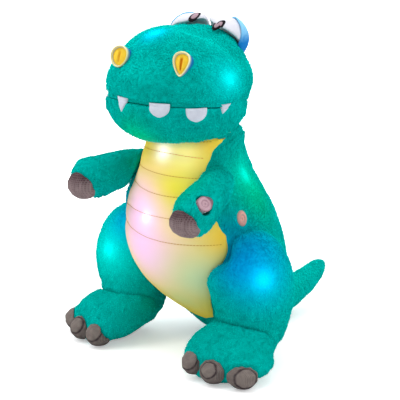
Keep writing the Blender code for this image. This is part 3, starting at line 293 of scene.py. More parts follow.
# Lamps behind the cloth: place, reach and colour of a narrow core and of a wide halo
lamps = {
    "brow": ((-0.012, -0.122, 0.371), 0.009, (0, 0.4, 0.75), 0.017, (0, 0.12, 0.34)),
    "cheek": ((0.08, -0.098, 0.328), 0.01, (0, 0.42, 0.45), 0.024, (0, 0.2, 0.24)),
    "throat": ((0.0047, -0.127, 0.239), 0.009, (0.55, 0.6, 0.75), 0.018, (0.16, 0.18, 0.28)),
    "belly": ((-0.0045, -0.146, 0.167), 0.006, (0.45, 0.55, 0.5), 0.016, (0.12, 0.16, 0.16)),
    "rightThigh": ((-0.091, -0.12, 0.107), 0.01, (0, 0.4, 0.4), 0.036, (0, 0.34, 0.3)),
    "leftThigh": ((0.13, -0.098, 0.111), 0.012, (0, 0.4, 0.6), 0.032, (0, 0.16, 0.32)),
    "shoulder": ((0.063, -0.05, 0.211), 0.009, (0, 0.45, 0.45), 0.024, (0, 0.22, 0.12)),
    "farThighTop": ((-0.074, -0.112, 0.15), 0.014, (0, 0.03, 0.1), 0.026, (0, 0.06, 0.2)),
    "chin": ((0.0, -0.158, 0.26), 0.012, (0, 0.04, 0.01), 0.024, (0, 0.1, 0.04)),
    "throatSide": ((0.036, -0.122, 0.24), 0.012, (0.12, 0.12, 0.1), 0.024, (0.36, 0.34, 0.16)),
}
# Colour that the lamps throw sideways through the cloth: place, reach, colour, amount
tints = {
    "flankBlue": ((0.1, -0.09, 0.14), 0.04, linear(0, 150, 205), 0.75),
    "thighBlue": ((0.106, -0.11, 0.126), 0.03, linear(0, 140, 210), 0.7),
    "farThighBlue": ((-0.07, -0.11, 0.15), 0.035, linear(0, 140, 205), 0.6),
    "backGreen": ((0.075, -0.045, 0.185), 0.035, linear(0, 195, 130), 0.6),
    "armGreen": ((0.05, -0.15, 0.205), 0.028, linear(0, 190, 105), 0.55),
    "chinGreen": ((0.0, -0.158, 0.262), 0.024, linear(0, 190, 110), 0.55),
}


def clothMaterial(name):
    made = bpy.data.materials.new(name)
    made.use_nodes = True
    tree = made.node_tree
    shader = tree.nodes["Principled BSDF"]
    shader.inputs["Roughness"].default_value = 0.9
    shader.inputs["Specular IOR Level"].default_value = 0.25
    return made, tree, shader


def useGroup(tree, group, given):
    return addNode(tree, "ShaderNodeGroup", given, node_tree=group).outputs


bumpDepth = {"pile": 0.0005, "cloth": 0.0004, "hard": 0.0002}


def bumpFrom(tree, shader, height, strength, distance):
    bump = addNode(tree, "ShaderNodeBump", {"Strength": strength, "Distance": distance, "Height": height})
    feed(tree, shader.inputs["Normal"], bump.outputs["Normal"])


def lightThrough(tree, shader, names):
    # the lamps' glow as emission that fades over the surface
    carry = (0, 0, 0)
    for name in names:
        where, coreReach, core, haloReach, halo = lamps[name]
        for reach, colour in ((coreReach, core), (haloReach, halo)):
            carry = useGroup(tree, lampGlow, {
                "Carry": carry, "Place": where, "Reach": reach, "Colour": colour})["Colour"]
    feed(tree, shader.inputs["Emission Color"], carry)
    shader.inputs["Emission Strength"].default_value = 1.0


def tinted(tree, colour, rows):
    for row in rows:
        colour = useGroup(tree, lampTint, dict(zip(tintInputs, (*row, colour))))["Colour"]
    return colour


# Plush: its pile's tone, then sheen, shine and bump
plushes = {
    "tealPlush": ({
        "Tip Colour": linear(0, 224, 212), "Shaded Root Colour": linear(0, 146, 138), "Patch Size": 45.0,
        "Patch Amount": 0.4, "Hair Size": 900.0}, 0.1, 0.0, 0.4),
    "yellowPlush": ({
        "Tip Colour": linear(252, 236, 96), "Shaded Root Colour": linear(240, 206, 60), "Patch Size": 30.0,
        "Patch Amount": 0.1, "Hair Size": 1100.0}, 0.0, 0.1, 0.35),
}
# Where the belly's yellow turns pink, orange or green over its lamps
bellyTints = (
    ((-0.03, -0.13, 0.19), 0.024, linear(252, 214, 190), 0.6),
    ((-0.01, -0.145, 0.13), 0.052, linear(250, 206, 238), 1.0),
    ((-0.012, -0.146, 0.17), 0.034, linear(255, 204, 244), 0.95),
    ((0.034, -0.136, 0.165), 0.02, linear(250, 222, 160), 0.7),
    ((0.03, -0.132, 0.204), 0.024, linear(250, 232, 66), 0.9),
    ((0.052, -0.12, 0.098), 0.038, linear(196, 218, 170), 0.95),
    ((0.01, -0.118, 0.042), 0.03, linear(160, 214, 170), 0.9),
    ((0.068, -0.102, 0.148), 0.016, linear(246, 196, 50), 0.7),
    ((0.048, -0.1, 0.252), 0.014, linear(250, 196, 40), 0.8),
    ((0.044, -0.112, 0.232), 0.01, linear(250, 214, 60), 0.6),
)


def makePlush(name, tintRows, lampNames):
    pileLook, sheen, shine, bump = plushes[name]
    made, tree, shader = clothMaterial(name)
    tone = useGroup(tree, pileTone, pileLook)
    for label, value in (
            ("Base Color", tinted(tree, tone["Colour"], tintRows)), ("Sheen Weight", sheen),
            ("Sheen Tint", (0, 1, 0.93)), ("Specular IOR Level", shine)):
        feed(tree, shader.inputs[label], value)
    bumpFrom(tree, shader, tone["Height"], bump, bumpDepth["pile"])
    lightThrough(tree, shader, lampNames)
    return made


# Plain cloths: colour, shade colour, thread size, mottle size, mottle
cloths = {
    "clawVelboa": (linear(142, 131, 124), linear(44, 34, 38), 260.0, 190.0, 0.95),
    "pawVelboa": (linear(150, 132, 132), linear(62, 40, 46), 150.0, 160.0, 0.95),
    "whiteFelt": (linear(226, 226, 234), linear(184, 178, 190), 900.0, 150.0, 0.5),
    "toothFelt": (linear(216, 220, 230), linear(150, 156, 176), 900.0, 150.0, 0.6),
    "lidCloth": (linear(150, 216, 246), linear(0, 118, 196), 800.0, 170.0, 0.5),
    "cupCloth": (linear(252, 238, 170), linear(0, 120, 180), 900.0, 200.0, 0.25),
    "liningCloth": (linear(255, 224, 70), linear(196, 116, 0), 800.0, 240.0, 0.45),
    "pupilThread": (linear(178, 150, 160), linear(18, 12, 18), 1500.0, 300.0, 0.2),
    "spotCloth": (linear(206, 172, 182), linear(140, 104, 116), 900.0, 260.0, 0.7),
    "flankCloth": (linear(232, 156, 146), linear(150, 150, 140), 900.0, 260.0, 0.6),
    "ochreThread": (linear(206, 150, 40), linear(150, 96, 20), 1500.0, 400.0, 0.6),
    "zipperTape": (linear(0, 120, 112), linear(0, 78, 74), 1100.0, 200.0, 0.6),
}


def makeCloth(name):
    made, tree, shader = clothMaterial(name)
    fibre = useGroup(tree, fibreTone, dict(zip(fibreInputs, cloths[name])))
    feed(tree, shader.inputs["Base Color"], fibre["Colour"])
    feed(tree, shader.inputs["Roughness"], fibre["Roughness"])
    shader.inputs["Specular IOR Level"].default_value = 0.15
    bumpFrom(tree, shader, fibre["Height"], 0.5, bumpDepth["cloth"])
    return made


# Hard parts inside and on the back: colour, roughness, metallic, grain size
hardParts = {
    "casePlastic": (linear(224, 226, 230), 0.45, 0.0, 500.0),
    "boardGreen": (linear(30, 110, 60), 0.5, 0.0, 300.0),
    "nickelPlate": (linear(200, 198, 194), 0.28, 1.0, 260.0),
    "cellWrap": (linear(50, 70, 150), 0.35, 0.0, 200.0),
    "leadSleeve": (linear(236, 236, 236), 0.5, 0.0, 400.0),
}


def makeHard(name):
    colour, roughness, metallic, grain = hardParts[name]
    made, tree, shader = clothMaterial(name)
    mottle = noiseAt(tree, objectPlace(tree), grain, 4.0)["Fac"]
    darker = tuple(value * 0.72 for value in colour)
    for label, value in (
            ("Base Color", mixColour(tree, mottle, colour, darker)),
            ("Roughness", mathOf(tree, "MULTIPLY_ADD", mottle, 0.2, roughness - 0.1)),
            ("Metallic", metallic), ("Specular IOR Level", 0.5)):
        feed(tree, shader.inputs[label], value)
    bumpFrom(tree, shader, mottle, 0.15, bumpDepth["hard"])
    return made


tealLamps = [name for name in lamps if name != "throatSide"]
finishes = {
    "tealPlush": makePlush("tealPlush", tints.values(), tealLamps),
    "yellowPlush": makePlush("yellowPlush", bellyTints, ("throat", "throatSide", "belly")),
}
finishes.update({name: makeCloth(name) for name in cloths})
finishes.update({name: makeHard(name) for name in hardParts})
print("materials made:", len(finishes))


# Meshes
allAxes = {"use_axis_x": True, "use_axis_y": True, "use_axis_z": True}


def settle(made):
    # the object keeps its evaluated mesh and loses its modifiers
    bpy.context.view_layer.update()
    graph = bpy.context.evaluated_depsgraph_get()
    mesh = bpy.data.meshes.new_from_object(made.evaluated_get(graph), depsgraph=graph)
    old = made.data
    made.modifiers.clear()
    made.data = mesh
    bpy.data.meshes.remove(old)
    return made


def shapedMesh(name, shape):
    mesh = bpy.data.meshes.new(name)
    shape.to_mesh(mesh)
    shape.free()
    return mesh


def mergedCopy(node, name):
    shape = bmesh.new()
    shape.from_mesh(nodes[node].data)
    bmesh.ops.remove_doubles(shape, verts=shape.verts, dist=0.00001)
    return linked(name, shapedMesh(name, shape))


def softened(made, low, rounds):
    # what lies above a height is drawn smooth
    shape = bmesh.new()
    shape.from_mesh(made.data)
    upper = [vertex for vertex in shape.verts if vertex.co.z > low]
    for _ in range(rounds):
        bmesh.ops.smooth_vert(shape, verts=upper, factor=0.5, **allAxes)
    shape.to_mesh(made.data)
    shape.free()


def remeshed(made, voxel, rounds):
    step = made.modifiers.new("voxels", "REMESH")
    step.mode = "VOXEL"
    step.voxel_size = voxel
    settle(made)
    softened(made, -1.0, rounds)


def joinedTree(*pieces):
    points, faces = [], []
    for piece in pieces:
        start = len(points)
        points += [vertex.co.copy() for vertex in piece.data.vertices]
        faces += [[start + index for index in face.vertices] for face in piece.data.polygons]
    return BVHTree.FromPolygons(points, faces)


def eased(value, low, high):
    share = max(0.0, min(1.0, (value - low) / (high - low)))
    return share * share * (3 - 2 * share)


def dressed(made, body, slot, finish, *replaced):
    made.data.materials.clear()
    made.data.materials.append(finishes[finish])
    made.data.shade_smooth()
    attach(made, body)
    if replaced:
        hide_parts(*replaced)
    return made


# CAD nodes that keep their shape: the start of their names and their finish
insideFinishes = {
    "battery_": "casePlastic", "button_housing": "casePlastic", "button_cap": "casePlastic",
    "lid_screw": "nickelPlate", "contact_": "nickelPlate", "control_board": "boardGreen",
    "cell_": "cellWrap", "lamp_string_": "leadSleeve", "button_lead_": "leadSleeve",
}
backFinishes = {
    "zipper_half_": "zipperTape", "zipper_slider": "nickelPlate", "pull_tab": "nickelPlate",
}
outsideNodes = [name for name in nodes if not name.startswith(tuple(insideFinishes))]

# Stuffed pieces: body, voxel, how far the cloth lies under the pile's tips, how far stuffing may move it,
# the pile's comb direction and its length
stuffedPieces = {
    "torso": ("toy", 0.0045, 0.0015, 0.0016, (0.0, 0.3, -1.0), 0.0028),
    "head": ("toy", 0.004, 0.0015, 0.0016, (0.0, 1.0, -0.4), 0.0028),
    "lower_jaw": ("toy", 0.0036, 0.0015, 0.0014, (0.0, 0.3, -1.0), 0.0028),
    "thigh_left": ("toy", 0.0036, 0.0015, 0.0016, (0.1, 0.4, -1.0), 0.0028),
    "thigh_right": ("toy", 0.0036, 0.0015, 0.0016, (-0.1, 0.4, -1.0), 0.0028),
    "foot_left": ("toy", 0.0032, 0.0014, 0.0014, (0.1, -1.0, -0.3), 0.0026),
    "foot_right": ("toy", 0.0032, 0.0014, 0.0014, (-0.1, -1.0, -0.3), 0.0026),
    "arm_left": ("arm_left", 0.0026, 0.0013, 0.0012, (0.0, -1.0, -0.5), 0.0025),
    "arm_right": ("arm_right", 0.0026, 0.0013, 0.0012, (0.0, -1.0, -0.5), 0.0025),
    "tail": ("tail", 0.0032, 0.0013, 0.0012, (0.0, 1.0, 0.3), 0.0026),
}
# Distances from the next piece over which the cloth is let in and let go, and its uneven filling
stuffing = {
    "pressure": 4.0, "frames": 20, "growth": -0.02, "smoothing": 8, "letIn": (0.0004, 0.009),
    "letGo": (0.001, 0.006), "unevenSize": 0.03, "unevenDepth": 0.0007,
}


def neighbourField(made, own):
    # for each vertex, how far it is from the nearest other piece or from the floor under it
    tree = joinedTree(*(nodes[name] for name in outsideNodes if name != own))
    return [min(tree.find_nearest(vertex.co)[3], max(0.0, vertex.co.z)) for vertex in made.data.vertices]


def sunk(made, field, depth):
    # bring the cloth in under the pile, except where it meets another piece
    moveOut(made, [-depth * eased(away, *stuffing["letIn"]) for away in field])


def addCloth(made, field):
    pins = made.vertex_groups.new(name="pins")
    for index, away in enumerate(field):
        pins.add([index], 1.0 - eased(away, *stuffing["letGo"]), "REPLACE")
    cloth = made.modifiers.new("stuffing", "CLOTH")
    cloth.settings.quality = 4
    cloth.settings.use_pressure = True
    cloth.settings.uniform_pressure_force = stuffing["pressure"]
    cloth.settings.shrink_min = stuffing["growth"]
    cloth.settings.vertex_group_mass = "pins"
    cloth.settings.effector_weights.gravity = 0.0
    cloth.collision_settings.use_collision = False
    cloth.point_cache.frame_start = 1
    cloth.point_cache.frame_end = stuffing["frames"]


def runCloth(pieces, caps):
    starts = {name: [vertex.co.copy() for vertex in made.data.vertices] for name, made in pieces.items()}
    for step in range(1, stuffing["frames"] + 1):
        scene.frame_set(step)
    graph = bpy.context.evaluated_depsgraph_get()
    results = {}
    for name, made in pieces.items():
        results[name] = [vertex.co.copy() for vertex in made.evaluated_get(graph).data.vertices]
    for name, made in pieces.items():
        made.modifiers.clear()
        for vertex, start, end in zip(made.data.vertices, starts[name], results[name]):
            move = end - start
            if move.length > caps[name]:
                move *= caps[name] / move.length
            vertex.co = start + move
        made.data.update()
    scene.frame_set(1)


def moveOut(made, moves):
    # every vertex goes its own distance along its normal
    mesh = made.data
    places = [vertex.co + vertex.normal * move for vertex, move in zip(mesh.vertices, moves)]
    for vertex, where in zip(mesh.vertices, places):
        vertex.co = where
    mesh.update()


def pressed(made, rows):
    # sewn-in creases: points, half width, depth
    for points, width, depth in rows:
        path = [Vector(point) for point in points]
        moves = []
        for vertex in made.data.vertices:
            away = min((vertex.co - nearestOn(vertex.co, a, b)).length for a, b in zip(path, path[1:]))
            moves.append(-depth * (1 - eased(away, 0, width)))
        moveOut(made, moves)


def nearestOn(point, start, end):
    run = end - start
    share = max(0.0, min(1.0, (point - start).dot(run) / run.length_squared))
    return start + run * share


def rippled(made, size, depth, seed):
    # soft uneven filling
    offset = Vector((seed * 3.7, seed * 1.3, seed * 7.1))
    moves = []
    for vertex in made.data.vertices:
        point = vertex.co / size
        moves.append(depth * (noise.noise(point + offset) + 0.5 * noise.noise(point * 2.3 + offset)))
    moveOut(made, moves)


def smoothed(made):
    soft = made.modifiers.new("soft", "SUBSURF")
    soft.levels = 1
    soft.render_levels = 1
    return settle(made)


def storeValues(made, name, values):
    attribute = made.data.attributes.new(name, "FLOAT", "POINT")
    attribute.data.foreach_set("value", values)


# Geometry Nodes: the pile, short leaning tufts over a cloth. Scales are of noise per metre, stray and
# speck the random parts of a tuft's lean and tone
tuftShape = {
    "least": 0.12, "ruffleScale": 130.0, "streakScale": 260.0, "streakStretch": (1.0, 1.0, 0.4),
    "stray": 0.35, "speck": 0.1, "shortest": 0.7, "longest": 1.1, "rooted": -0.0004,
}


def makePileTree():
    tree, given, out = newTree("plushPile", "GeometryNodeTree", {
        "Geometry": "Geometry", "Tufts per Square Metre": "Float", "Tuft Length": "Float",
        "Tuft Width": "Float", "Lean": "Float", "Comb": "Vector", "Ruffle": "Float",
        "Streak": "Float", "Seed": "Int", "Cloth": "Material"}, {"Geometry": "Geometry"})

    def randomOf(kind, low, high, **more):
        rows = {"Min": low, "Max": high, **more}
        return addNode(tree, "FunctionNodeRandomValue", rows, data_type=kind).outputs

    def marked(name, geometry, value, domain):
        rows = {"Geometry": geometry, "Name": name, "Value": value}
        made = addNode(tree, "GeometryNodeStoreNamedAttribute", rows, data_type="FLOAT", domain=domain)
        return made.outputs["Geometry"]

    where = addNode(tree, "GeometryNodeInputPosition").outputs["Position"]
    growth = addNode(
        tree, "GeometryNodeInputNamedAttribute", {"Name": "pileGrow"}, data_type="FLOAT").outputs["Attribute"]
    thick = mathOf(tree, "GREATER_THAN", growth, tuftShape["least"])
    spread = addNode(tree, "GeometryNodeDistributePointsOnFaces", {
        "Mesh": given["Geometry"], "Seed": given["Seed"],
        "Density": mathOf(tree, "MULTIPLY", thick, given["Tufts per Square Metre"])},
        distribute_method="RANDOM").outputs
    # lean along the comb direction within the surface, ruffled in soft patches
    normal, comb = spread["Normal"], given["Comb"]
    lift = vectorOf(tree, "SCALE", normal, scale=vectorOf(tree, "DOT_PRODUCT", comb, normal))
    flat = vectorOf(tree, "SUBTRACT", comb, lift)
    ruffle = noiseAt(tree, where, tuftShape["ruffleScale"], 2.0)["Color"]
    ruffle = vectorOf(tree, "SUBTRACT", ruffle, (0.5, 0.5, 0.5))
    ruffle = vectorOf(tree, "SCALE", ruffle, scale=mathOf(tree, "MULTIPLY", given["Ruffle"], 3.0))
    far = tuftShape["stray"]
    stray = randomOf("FLOAT_VECTOR", (-far, -far, -far), (far, far, far), Seed=given["Seed"])
    aim = vectorOf(tree, "ADD", normal, vectorOf(tree, "SCALE", flat, scale=given["Lean"]))
    for more in (ruffle, stray["Value"]):
        aim = vectorOf(tree, "ADD", aim, more)
    turn = addNode(tree, "FunctionNodeAlignRotationToVector", {"Vector": aim}, axis="Z")
    # one tuft, a closed three-sided spike
    tuft = addNode(tree, "GeometryNodeMeshCone", {
        "Vertices": 3, "Radius Top": 0.0, "Depth": given["Tuft Length"],
        "Radius Bottom": mathOf(tree, "MULTIPLY", given["Tuft Width"], 0.5)}, fill_type="NGON")
    height = addNode(tree, "ShaderNodeSeparateXYZ", {0: where}).outputs["Z"]
    tipShare = mathOf(tree, "DIVIDE", height, given["Tuft Length"])
    tuft = marked("pileTip", tuft.outputs["Mesh"], tipShare, "POINT")
    # each tuft is lighter or darker, in streaks that follow the pile
    streak = vectorOf(tree, "MULTIPLY", where, tuftShape["streakStretch"])
    streak = noiseAt(tree, streak, tuftShape["streakScale"], 2.0)[0]
    tone = mathOf(tree, "MULTIPLY", mathOf(tree, "SUBTRACT", streak, 0.5), given["Streak"])
    speck = randomOf("FLOAT", -tuftShape["speck"], tuftShape["speck"])[1]
    tone = mathOf(tree, "ADD", tone, speck)
    width = mathOf(tree, "MULTIPLY_ADD", growth, 0.4, 0.6)
    length = randomOf("FLOAT", tuftShape["shortest"], tuftShape["longest"], Seed=given["Seed"])["Value"]
    size = addNode(tree, "ShaderNodeCombineXYZ", {
        "X": width, "Y": width, "Z": mathOf(tree, "MULTIPLY", length, growth)})
    tufts = addNode(tree, "GeometryNodeInstanceOnPoints", {
        "Points": spread["Points"], "Instance": tuft, "Rotation": turn.outputs["Rotation"],
        "Scale": size.outputs[0]}).outputs["Instances"]
    tufts = marked("tuftTone", tufts, tone, "INSTANCE")
    sunkTufts = addNode(tree, "GeometryNodeTranslateInstances", {
        "Instances": tufts, "Translation": (0, 0, tuftShape["rooted"])})
    real = addNode(tree, "GeometryNodeRealizeInstances", {"Geometry": sunkTufts.outputs["Instances"]})
    both = addNode(tree, "GeometryNodeJoinGeometry")
    for geometry in (real.outputs["Geometry"], given["Geometry"]):
        feed(tree, both.inputs["Geometry"], geometry)
    paint = addNode(tree, "GeometryNodeSetMaterial", {
        "Geometry": both.outputs["Geometry"], "Material": given["Cloth"]})
    feed(tree, out["Geometry"], paint.outputs["Geometry"])
    return tree


def grown(made, tree, values):
    step = made.modifiers.new(tree.name, "NODES")
    step.node_group = tree
    for item in tree.interface.items_tree:
        if item.name in values:
            step[item.identifier] = values[item.name]
    return settle(made)


pileTree = makePileTree()
pile = {
    "Tufts per Square Metre": 320000.0, "Tuft Width": 0.0012, "Lean": 1.35, "Ruffle": 0.42,
    "Streak": 1.1,
}
# How the pile grows in away from other cloth and from what is sewn on, and what lies over it
pileClear = {"cloth": (0.0002, 0.003), "covers": (0.0003, 0.0026), "below": 0.0008, "above": 0.006}
# Creases sewn or pressed into a piece: points, half width, depth
creases = {
    "foot_left": (
        (((0.094, -0.15, 0.036), (0.1, -0.136, 0.05)), 0.006, 0.0026),
    ),
    "head": (
        (((-0.014, -0.085, 0.378), (0.018, -0.078, 0.376), (0.034, -0.073, 0.372),
          (0.051, -0.066, 0.362), (0.06, -0.054, 0.35)), 0.045, 0.0048),
        (((0.018, -0.078, 0.376), (0.04, -0.07, 0.369), (0.057, -0.059, 0.356)), 0.04, 0.0088),
        (((-0.014, -0.068, 0.375), (0.012, -0.064, 0.374)), 0.026, 0.004),
    ),
}
# Stuffing pushed by hand: centre, reach, move
nudges = {
    "head": (
        ((-0.048, -0.159, 0.31), 0.032, (-0.003, -0.0026, -0.001)),
        ((0.082, -0.045, 0.33), 0.05, (-0.0017, -0.0015, 0.0)),
    ),
    "lower_jaw": (
        ((-0.045, -0.156, 0.29), 0.028, (-0.0028, -0.0024, 0.0)),
        ((0.075, -0.055, 0.29), 0.026, (-0.002, -0.002, 0.0)),
    ),
    "torso": (
        ((0.042, -0.042, 0.266), 0.028, (0.0105, 0.0095, 0.001)),
        ((-0.062, -0.108, 0.186), 0.038, (-0.005, -0.0044, 0.0)),
        ((0.0561, -0.0407, 0.214), 0.034, (-0.0045, -0.004, 0.0)),
        ((0.1, -0.052, 0.15), 0.032, (0.005, 0.001, 0.003)),
    ),
    "arm_left": (
        ((0.098, -0.15, 0.172), 0.034, (-0.002, -0.003, -0.0125)),
        ((0.0978, -0.159, 0.2024), 0.026, (0.006, -0.0008, 0.0037)),
    ),
    "arm_right": (
        ((-0.076, -0.165, 0.2), 0.05, (-0.0042, -0.004, 0.0)),
        ((-0.058, -0.163, 0.182), 0.022, (0.0015, -0.001, -0.0045)),
        ((-0.045, -0.15, 0.19), 0.03, (0.0, 0.0, -0.004)),
        ((-0.084, -0.163, 0.213), 0.022, (-0.001, -0.0015, 0.004)),
    ),
    "paw_left": (((0.098, -0.15, 0.172), 0.034, (-0.0016, -0.002, -0.006)),),
    "paw_right": (((-0.076, -0.165, 0.2), 0.05, (-0.0042, -0.004, 0.0)),),
    "thigh_left": (
        ((0.0683, -0.1132, 0.0993), 0.03, (-0.0048, -0.0042, 0.0)),
        ((0.0756, -0.1065, 0.1304), 0.024, (0.005, 0.006, -0.004)),
    ),
    "foot_left": (((0.15, -0.114, 0.004), 0.042, (0.015, 0.0095, 0.0)),),
    "foot_right": (((-0.044, -0.064, 0.0), 0.062, (-0.005, 0.0, 0.017)),),
    "claw_left_outer": (
        ((0.13, -0.15, 0.015), 0.016, (-0.0026, -0.0012, 0.0)),
        ((0.14, -0.14, 0.012), 0.06, (0.003, -0.004, -0.001)),
    ),
    "claw_left_inner": (((0.075, -0.157, 0.014), 0.06, (0.0024, 0.002, 0.004)),),
    "eye_left": (((-0.005, -0.036, 0.366), 0.024, (0.0, -0.0015, 0.0085)),),
    "eye_right": (((-0.016, -0.036, 0.366), 0.024, (0.0, -0.0015, 0.0085)),),
    "eyelid_left": (((0.031, -0.04, 0.343), 0.028, (-0.0045, -0.009, 0.0)),),
}
# Cloth drawn smooth after the pressing: lowest height, rounds
drawn = {"head": (0.335, 14)}
# The groove between head and jaw, filled behind the corners of the mouth and shallow in front of
# them: heights between which it is filled, where the corners are, the depth left in front, the head's
# middle line, how far from it a ray starts and the least radius that is filled
groove = {
    "start": -0.09, "blend": 0.018, "behind": (0.284, 0.33), "front": (0.288, 0.318),
    "seam": 0.302, "crease": 0.0026, "middle": (0.0, -0.075), "outside": 0.2, "core": 0.03,
    "creaseWidth": (0.0008, 0.005), "surface": (0.8, 0.9),
}
# The pile over that groove: the sides it covers, how far up and down, and the line it leaves free
groovePile = {
    "facing": (0.3, 0.6), "start": 0.006, "height": (0.012, 0.024), "line": (0.0006, 0.0032),
    "most": 0.9,
}


def nudged(made, rows):
    for centre, reach, move in rows:
        centre, move = Vector(centre), Vector(move)
        for vertex in made.data.vertices:
            vertex.co += move * (1 - eased((vertex.co - centre).length, 0.0, reach))
        made.data.update()


def reachAt(tree, out, height):
    # how far a piece reaches from the head's middle line, in one direction and at one height
    start = Vector((*groove["middle"], height)) + out * groove["outside"]
    hit = tree.ray_cast(start, -out)
    return None if hit[0] is None else groove["outside"] - hit[3]


def outFrom(where):
    out = Vector((where.x - groove["middle"][0], where.y - groove["middle"][1], 0))
    return out.normalized(), out.length


def filled(where, headTree, jawTree, heights, left):
    # how far out a point of the lips goes to lie on the line from jaw to head
    bottom, top = heights
    out, radius = outFrom(where)
    if not bottom < where.z < top or radius < groove["core"]:
        return 0.0
    above, below = reachAt(headTree, out, top), reachAt(jawTree, out, bottom)
    if not above or not below:
        return 0.0
    target = below + (above - below) * (where.z - bottom) / (top - bottom)
    target -= left * (1 - eased(abs(where.z - groove["seam"]), *groove["creaseWidth"]))
    return max(0.0, target - radius) * eased(radius / target, *groove["surface"])


def grooveFilled(head, jaw):
    headTree, jawTree = joinedTree(head), joinedTree(jaw)
    for made in (head, jaw):
        places = []
        for vertex in made.data.vertices:
            where = vertex.co.copy()
            behind = eased(where.y, groove["start"], groove["start"] + groove["blend"])
            move = behind * filled(where, headTree, jawTree, groove["behind"], 0.0)
            move += (1 - behind) * filled(where, headTree, jawTree, groove["front"], groove["crease"])
            places.append(where + outFrom(where)[0] * move)
        for vertex, where in zip(made.data.vertices, places):
            vertex.co = where
        made.data.update()


def onGroove(vertex):
    # how far the pile covers the seam of head and jaw: fully behind the mouth, up to its line in front
    outer = eased(vertex.normal.dot(outFrom(vertex.co)[0]), *groovePile["facing"])
    away, start = abs(vertex.co.z - groove["seam"]), groove["start"]
    behind = eased(vertex.co.y, start + groovePile["start"], start + groove["blend"])
    front = groovePile["most"] * eased(away, *groovePile["line"])
    return outer * (1 - eased(away, *groovePile["height"])) * max(behind, front)


def makeStuffed():
    pieces, fields = {}, {}
    for node, (_, voxel, depth, *_) in stuffedPieces.items():
        made = mergedCopy(node, node + "_plush")
        remeshed(made, voxel, stuffing["smoothing"])
        fields[node] = neighbourField(made, node)
        sunk(made, fields[node], depth)
        pieces[node] = made
    for node, made in pieces.items():
        addCloth(made, fields[node])
    runCloth(pieces, {node: row[3] for node, row in stuffedPieces.items()})
    print("stuffing simulated")
    for number, (node, made) in enumerate(pieces.items()):
        made.vertex_groups.clear()
        smoothed(made)
        rippled(made, stuffing["unevenSize"], stuffing["unevenDepth"], number + 1)
        pressed(made, creases.get(node, ()))
        nudged(made, nudges.get(node, ()))
        if node in drawn:
            softened(made, *drawn[node])
    grooveFilled(pieces["head"], pieces["lower_jaw"])
    return pieces


stuffed = makeStuffed()
print("stuffed pieces shaped:", len(stuffed))


# Belly panel: quilted rows over the torso's front
belly = {
    "bottom": 0.028, "top": 0.258, "halfWidth": 0.0915, "across": 72, "up": 168,
    "farSide": 0.93, "farTuck": 0.09, "lift": 0.0014, "puff": 0.0015, "edge": 0.005,
    "swell": 0.0075, "under": 0.0015, "seamWidth": 0.0075, "seamInset": 0.003,
    "tuckAt": 0.19, "tuckReach": (0.012, 0.045), "swellAt": 0.134, "swellReach": (0.0, 0.04),
}
bellyStitch = {"steps": 40, "lift": 0.0002, "pitch": 0.0036, "length": 0.0031, "width": 0.0007}
# Sewn rows: height at the middle, rise to the toy's left, bow
bellyRows = (
    (0.1432, -0.09, 0.9), (0.1695, -0.025, 0.0), (0.1938, -0.07, 1.0), (0.2153, -0.04, 0.0),
    (0.2385, 0.0, -1.9), (0.2515, 0.0, 0.0),
)
# Outline: share of its height, share of the half width
bellyOutline = (
    (0.0, 0.02), (0.03, 0.2), (0.098, 0.36), (0.215, 0.55), (0.37, 0.71),
    (0.507, 0.75), (0.643, 0.68), (0.78, 0.56), (0.9, 0.52), (0.974, 0.53), (1.0, 0.54),
)


def outlineAt(share):
    points = [bellyOutline[0], *bellyOutline, bellyOutline[-1]]
    for before, low, high, after in zip(points, points[1:], points[2:], points[3:]):
        if low[0] <= share <= high[0]:
            t = (share - low[0]) / (high[0] - low[0])
            p0, p1, p2, p3 = before[1], low[1], high[1], after[1]
            bend = (2 * p0 - 5 * p1 + 4 * p2 - p3) * t * t + (3 * p1 - p0 - 3 * p2 + p3) * t ** 3
            return (2 * p1 + (p2 - p0) * t + bend) / 2
    return bellyOutline[-1][1]


def bellyGround(tree, x, z):
    # the torso's front at this place, and its normal
    hit = tree.ray_cast(Vector((x, -1.0, z)), Vector((0, 1, 0)))
    return hit if hit[0] is not None else tree.find_nearest(Vector((x, -0.1, z)))


def rowHeight(row, x):
    level, rise, bow = row
    return level + rise * x + bow * x * x


def rowDepth(z, x):
    # 0 on a sewn row, 1 midway between rows
    away = min(abs(z - rowHeight(row, x)) for row in bellyRows)
    return eased(away, 0.0, belly["seamWidth"])


def bellySides(z, half):
    # a little less far round under the far arm, a little further round beside the near thigh
    tuck = 1 - eased(abs(z - belly["tuckAt"]), *belly["tuckReach"])
    swell = 1 - eased(abs(z - belly["swellAt"]), *belly["swellReach"])
    return half * (belly["farSide"] - belly["farTuck"] * tuck), half + belly["swell"] * swell


def slabMesh(name, front, back):
    # two grids of points, front and back, closed round their rim
    shape = bmesh.new()
    frontRows = [[shape.verts.new(point) for point in row] for row in front]
    backRows = [[shape.verts.new(point) for point in row] for row in back]
    for rows in (frontRows, backRows):
        for low, high in zip(rows, rows[1:]):
            for corners in zip(low, low[1:], high[1:], high):
                shape.faces.new(corners if rows is frontRows else corners[::-1])
    rims = []
    for rows in (frontRows, backRows):
        rim = [row[0] for row in reversed(rows)] + rows[0][1:] + [row[-1] for row in rows[1:]]
        rims.append(rim + list(reversed(rows[-1][1:-1])))
    outer, under = rims
    for a, b, c, d in zip(outer, outer[1:] + outer[:1], under[1:] + under[:1], under):
        shape.faces.new((b, a, d, c))
    inner = [vertex for row in frontRows for vertex in row[1:-1]]
    bmesh.ops.smooth_vert(shape, verts=inner, factor=0.4, **allAxes)
    bmesh.ops.recalc_face_normals(shape, faces=shape.faces)
    return shapedMesh(name, shape)


